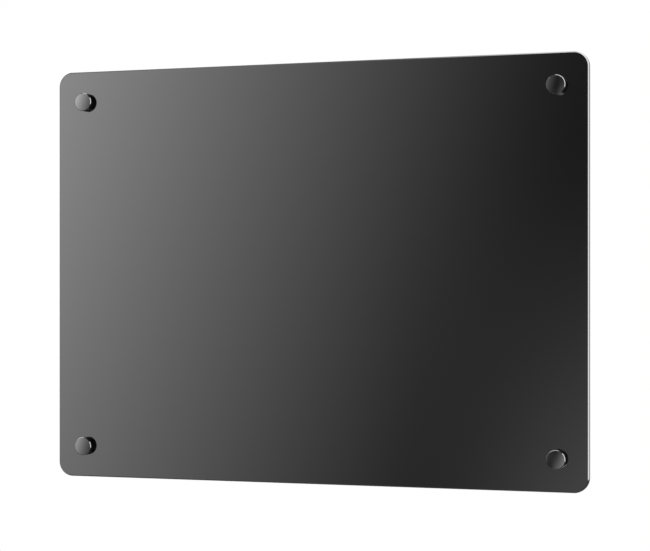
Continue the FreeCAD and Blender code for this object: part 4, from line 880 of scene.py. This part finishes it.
def buildLamp():
    low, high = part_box("pilot_lamp")
    spot = Vector((middle("pilot_lamp").x, middle("pilot_lamp").y, low.z + lampSet["stemLength"]))
    stem, tall = lampSet["stem"], lampSet["rimHeight"]
    start = tall * lampSet["domeStart"]
    rise = high.z - spot.z - start
    profile = [(0, -lampSet["stemLength"]), (stem, -lampSet["stemLength"]), (stem, 0)]
    for i in range(lampSet["domeSteps"] + 1):
        angle = math.pi / 2 * i / lampSet["domeSteps"]
        profile.append((stem * math.cos(angle), start + rise * math.sin(angle)))
    bm = bmesh.new()
    for v in turn(bm, profile, lampSet["ribs"] * lampSet["stepsPerRib"], spot, (0, 0, 1)):
        out = Vector((v.co.x - spot.x, v.co.y - spot.y))
        if v.co.z > spot.z + tall and out.length > stem * lampSet["ribReach"]:
            v.co.z -= lampSet["ribDepth"] * ribWave(out, lampSet["ribs"]) * out.length / stem
    finishPiece("pilotLens", bm, "amber_lens", "heater", "pilot_lamp")
    bm = bmesh.new()
    inner, rim, edge = stem + lampSet["rimFit"], lampSet["rim"], lampSet["rimEdge"]
    ring = [(inner, 0), (rim, 0), (rim, tall / 2)]
    ring += arc(rim - edge, tall - edge, edge, 0, 90, 4) + [(inner, tall)]
    turn(bm, ring, lampSet["rimSteps"], spot, (0, 0, 1), closed=True)
    finishPiece("pilotCollar", bm, "gloss_black_plastic", "heater")


buildLamp()

# dome nut of the gland, ribbed for the fingers
domeSet = {
    "radius": 9.5 * mm, "nose": 7.5 * mm, "socket": 7.55 * mm, "socketDepth": 6.2 * mm, "mouth": 4.9 * mm,
    "round": 1.6 * mm, "flare": 0.5 * mm, "lip": 0.3 * mm, "step": 0.1 * mm, "plain": 1.2 * mm,
    "ribs": 18, "ribDepth": 0.7 * mm, "ribEnd": 0.2 * mm, "leastWall": 0.3 * mm, "stepsPerRib": 6,
}


def buildDomeNut():
    low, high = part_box("gland_dome_nut")
    spot = Vector((middle("gland_dome_nut").x, middle("gland_dome_nut").y, high.z))
    radius, nose, bend, lip, plain = (domeSet[k] for k in ("radius", "nose", "round", "lip", "plain"))
    socket, mouth, depth, ribEnd = (domeSet[k] for k in ("socket", "mouth", "socketDepth", "ribEnd"))
    tall, brow = high.z - low.z, nose + domeSet["flare"]
    profile = [
        (socket, 0), (radius - lip, 0), (radius, lip), (radius, plain),
        (radius - domeSet["step"], plain + lip), (brow, tall - bend),
    ]
    profile += arc(brow - bend, tall - bend, bend, 0, 90, 5)[1:]
    profile += [(mouth, tall), (mouth, depth), (socket, depth)]
    bm = bmesh.new()
    for v in turn(bm, profile, domeSet["ribs"] * domeSet["stepsPerRib"], spot, (0, 0, -1), closed=True):
        out = Vector((v.co.x - spot.x, v.co.y - spot.y))
        down = spot.z - v.co.z
        if plain + ribEnd < down < tall - ribEnd and out.length > nose:
            spare = max(out.length - socket - domeSet["leastWall"], 0)
            sunk = domeSet["ribDepth"] * ribWave(out, domeSet["ribs"])**2
            pull = out.normalized() * min(sunk, spare)
            v.co.x -= pull.x
            v.co.y -= pull.y
    finishPiece("glandDomeNut", bm, "black_plastic", "heater", "gland_dome_nut")


buildDomeNut()
print("controls and gland done")

# level camera with a long lens, turned to the left
cameraSet = {
    "place": (0.7017, -2.0211, -0.0241), "turn": 0.35496, "sensor": 36.0,
    "focalPixels": 1927.6, "imageWidth": 650, "horizonDrop": 20.3,
}


def buildCamera():
    data = bpy.data.cameras.new("camera")
    data.sensor_width = cameraSet["sensor"]
    data.lens = cameraSet["focalPixels"] / cameraSet["imageWidth"] * data.sensor_width
    data.shift_y = cameraSet["horizonDrop"] / cameraSet["imageWidth"]
    camera = bpy.data.objects.new("camera", data)
    camera.location = cameraSet["place"]
    camera.rotation_euler = (math.pi / 2, 0, math.atan(cameraSet["turn"]))
    bpy.context.scene.collection.objects.link(camera)
    bpy.context.scene.camera = camera


buildCamera()

# studio: a large soft light at the left front that grows towards the side, a low light and a glow nearer
# the middle, a dim room behind, and an arch of rim light from the right over the top. A pair is a start and
# an end along one axis. The arch is at full strength in reflections, and archShare of that on matt surfaces,
# which it would bleach. Reflections see the studio, not the white ground, which would grey the pane.
room = {
    "front": 0.19, "softStart": 0.207, "softSlant": 0.228, "softGain": 62.5, "softRise": 1.97,
    "softTilt": 0.95, "softTiltLeast": 0.2, "softReach": 0.53, "softTop": (0.22, 0.55),
    "softFoot": (-0.5, -0.15), "softShare": 0.1, "softEnd": (0.6, 0.85), "softEndShare": 0.25,
    "lowGain": 3.0, "lowSide": (0.178, 0.304), "lowTop": (-0.38, 0.1), "lowFoot": (-0.6, -0.3),
    "lowFootShare": 0.1, "lowEnd": (-0.08, 0.08), "lowEndShare": 0.05,
    "glowStart": 0.21, "glowReach": 0.19, "glowRise": 1.5, "glowGain": 82.0, "glowTop": (-0.06, 0.16),
    "glowShare": 0.2, "behindBlend": (-0.25, 0.05), "behindSide": (0.1, 0.5), "behind": (0.24, 0.6),
    "archRight": (-0.6, 0.4), "archGain": (15.0, 7.5), "archLeft": (0.7, 0.95), "archFade": 0.25,
    "archFoot": (-0.38, -0.12), "archBack": (0.14, 0.22), "archTwist": 0.3,
    "archDip": (0.15, 0.32), "archDipDepth": 0.08, "archSwing": (0.62, 0.75), "archSwingDepth": 0.18,
    "archFront": -0.55, "archLean": (0.5, 0.85), "archPull": 0.38, "archEdge": 0.06, "archShare": 0.25,
}


def buildWorld():
    world = bpy.data.worlds.new("studio")
    bpy.context.scene.world = world
    world.use_nodes = True
    tree = world.node_tree
    tree.nodes.clear()
    way = addNode(tree, "ShaderNodeTexCoord").outputs["Generated"]
    axes = addNode(tree, "ShaderNodeSeparateXYZ", {"Vector": way})
    back, up = axes.outputs["Y"], axes.outputs["Z"]

    def calc(operation, first, second=0.0):
        return addNode(tree, "ShaderNodeMath", {0: first, 1: second}, operation=operation).outputs[0]

    def ramp(value, span, start, end):
        return addNode(tree, "ShaderNodeMapRange", {
            "Value": value, "From Min": span[0], "From Max": span[1], "To Min": start, "To Max": end,
        }, interpolation_type="SMOOTHSTEP").outputs["Result"]

    def product(*factors):
        result = factors[0]
        for factor in factors[1:]:
            result = calc("MULTIPLY", result, factor)
        return result

    left = calc("MULTIPLY", axes.outputs["X"], -1.0)
    reach = calc("ADD", calc("MINIMUM", left, room["softReach"]), calc("MULTIPLY", up, room["softSlant"]))
    climb = calc("POWER", calc("MAXIMUM", calc("SUBTRACT", reach, room["softStart"]), 0.0), room["softRise"])
    tilt = calc("ADD", calc("MULTIPLY", up, room["softTilt"]), 1.0)
    soft = product(climb, room["softGain"], calc("MAXIMUM", tilt, room["softTiltLeast"]),
                   ramp(up, room["softTop"], 1.0, room["softShare"]),
                   ramp(up, room["softFoot"], room["softShare"], 1.0),
                   ramp(left, room["softEnd"], 1.0, room["softEndShare"]))
    lowEnds = calc("MULTIPLY", ramp(up, room["lowFoot"], room["lowFootShare"], 1.0),
                   ramp(left, room["lowEnd"], room["lowEndShare"], 1.0))
    low = product(ramp(left, room["lowSide"], room["lowGain"], 0.0),
                  ramp(up, room["lowTop"], 1.0, 0.0), lowEnds)
    past = calc("MINIMUM", calc("MAXIMUM", calc("SUBTRACT", room["glowStart"], left), 0.0), room["glowReach"])
    glow = product(calc("POWER", past, room["glowRise"]), room["glowGain"],
                   ramp(up, room["glowTop"], 1.0, room["glowShare"]), lowEnds)
    front = calc("ADD", calc("ADD", soft, low), calc("ADD", glow, room["front"]))
    behind = ramp(left, room["behindSide"], *room["behind"])
    level = addNode(tree, "ShaderNodeMix", {
        "Factor": ramp(back, room["behindBlend"], 0.0, 1.0), "A": front, "B": behind,
    }).outputs["Result"]
    twist = calc("MULTIPLY", calc("MAXIMUM", axes.outputs["X"], 0.0), room["archTwist"])
    swing = ramp(left, room["archSwing"], 0.0, room["archSwingDepth"])
    dip = calc("SUBTRACT", ramp(left, room["archDip"], 0.0, room["archDipDepth"]), swing)
    rear = calc("ADD", back, calc("ADD", twist, dip))
    lean = calc("MAXIMUM", ramp(up, room["archLean"], 0.0, room["archPull"]),
                ramp(left, room["archRight"], 0.0, room["archPull"]))
    nose = calc("SUBTRACT", calc("ADD", lean, room["archFront"]), swing)
    inside = calc("DIVIDE", calc("SUBTRACT", back, nose), room["archEdge"])
    arch = product(ramp(inside, (0.0, 1.0), 0.0, 1.0), ramp(rear, room["archBack"], 1.0, 0.0),
                   ramp(up, room["archFoot"], 0.0, 1.0), ramp(left, room["archRight"], *room["archGain"]),
                   ramp(left, room["archLeft"], 1.0, room["archFade"]))
    rays = addNode(tree, "ShaderNodeLightPath").outputs
    arch = product(arch, ramp(rays["Is Glossy Ray"], (0.0, 1.0), room["archShare"], 1.0))
    strength = addNode(tree, "ShaderNodeMix", {
        "Factor": rays["Is Camera Ray"], "A": calc("ADD", level, arch), "B": 1.0,
    })
    light = addNode(tree, "ShaderNodeBackground", {
        "Color": (1, 1, 1, 1), "Strength": strength.outputs["Result"],
    })
    addNode(tree, "ShaderNodeOutputWorld", {"Surface": light.outputs["Background"]})


buildWorld()

# pale floor that fades out into the white round it
floorSet = {
    "height": -0.62, "radius": 2.4, "steps": 96, "fadeStart": 0.8, "fadeEnd": 2.28,
    "tone": "#c6c5c3", "grain": 12 * mm, "roughness": (0.75, 0.9),
}


def buildFloor():
    bm = bmesh.new()
    bmesh.ops.create_circle(
        bm, cap_ends=True, segments=floorSet["steps"], radius=floorSet["radius"],
        matrix=Matrix.Translation((0, 0, floorSet["height"])),
    )
    floor = looseObject("floor", bm)
    material, tree, shader, coords = startMaterial("paperSweepPale", Base_Color=hexColor(floorSet["tone"]))
    tooth = addNode(tree, "ShaderNodeTexNoise", {"Vector": coords, "Scale": 1 / floorSet["grain"]})
    smoothest, roughest = floorSet["roughness"]
    rough = addNode(tree, "ShaderNodeMapRange", {
        "Value": tooth.outputs["Fac"], "To Min": smoothest, "To Max": roughest,
    })
    feed(tree, shader, Roughness=rough.outputs["Result"])
    flat = addNode(tree, "ShaderNodeVectorMath", {0: coords, 1: (1, 1, 0)}, operation="MULTIPLY")
    away = addNode(tree, "ShaderNodeVectorMath", {0: flat.outputs["Vector"]}, operation="LENGTH")
    fade = addNode(tree, "ShaderNodeMapRange", {
        "Value": away.outputs["Value"], "From Min": floorSet["fadeStart"], "From Max": floorSet["fadeEnd"],
    }, interpolation_type="SMOOTHSTEP")
    clear = addNode(tree, "ShaderNodeBsdfTransparent")
    mixed = addNode(tree, "ShaderNodeMixShader", {
        "Fac": fade.outputs["Result"], 1: shader.outputs["BSDF"], 2: clear.outputs["BSDF"],
    })
    output = next(n for n in tree.nodes if n.type == "OUTPUT_MATERIAL")
    tree.links.new(mixed.outputs["Shader"], output.inputs["Surface"])
    floor.data.materials.append(material)


buildFloor()
bpy.context.scene.view_settings.view_transform = "Standard"
print("camera, studio and floor done")
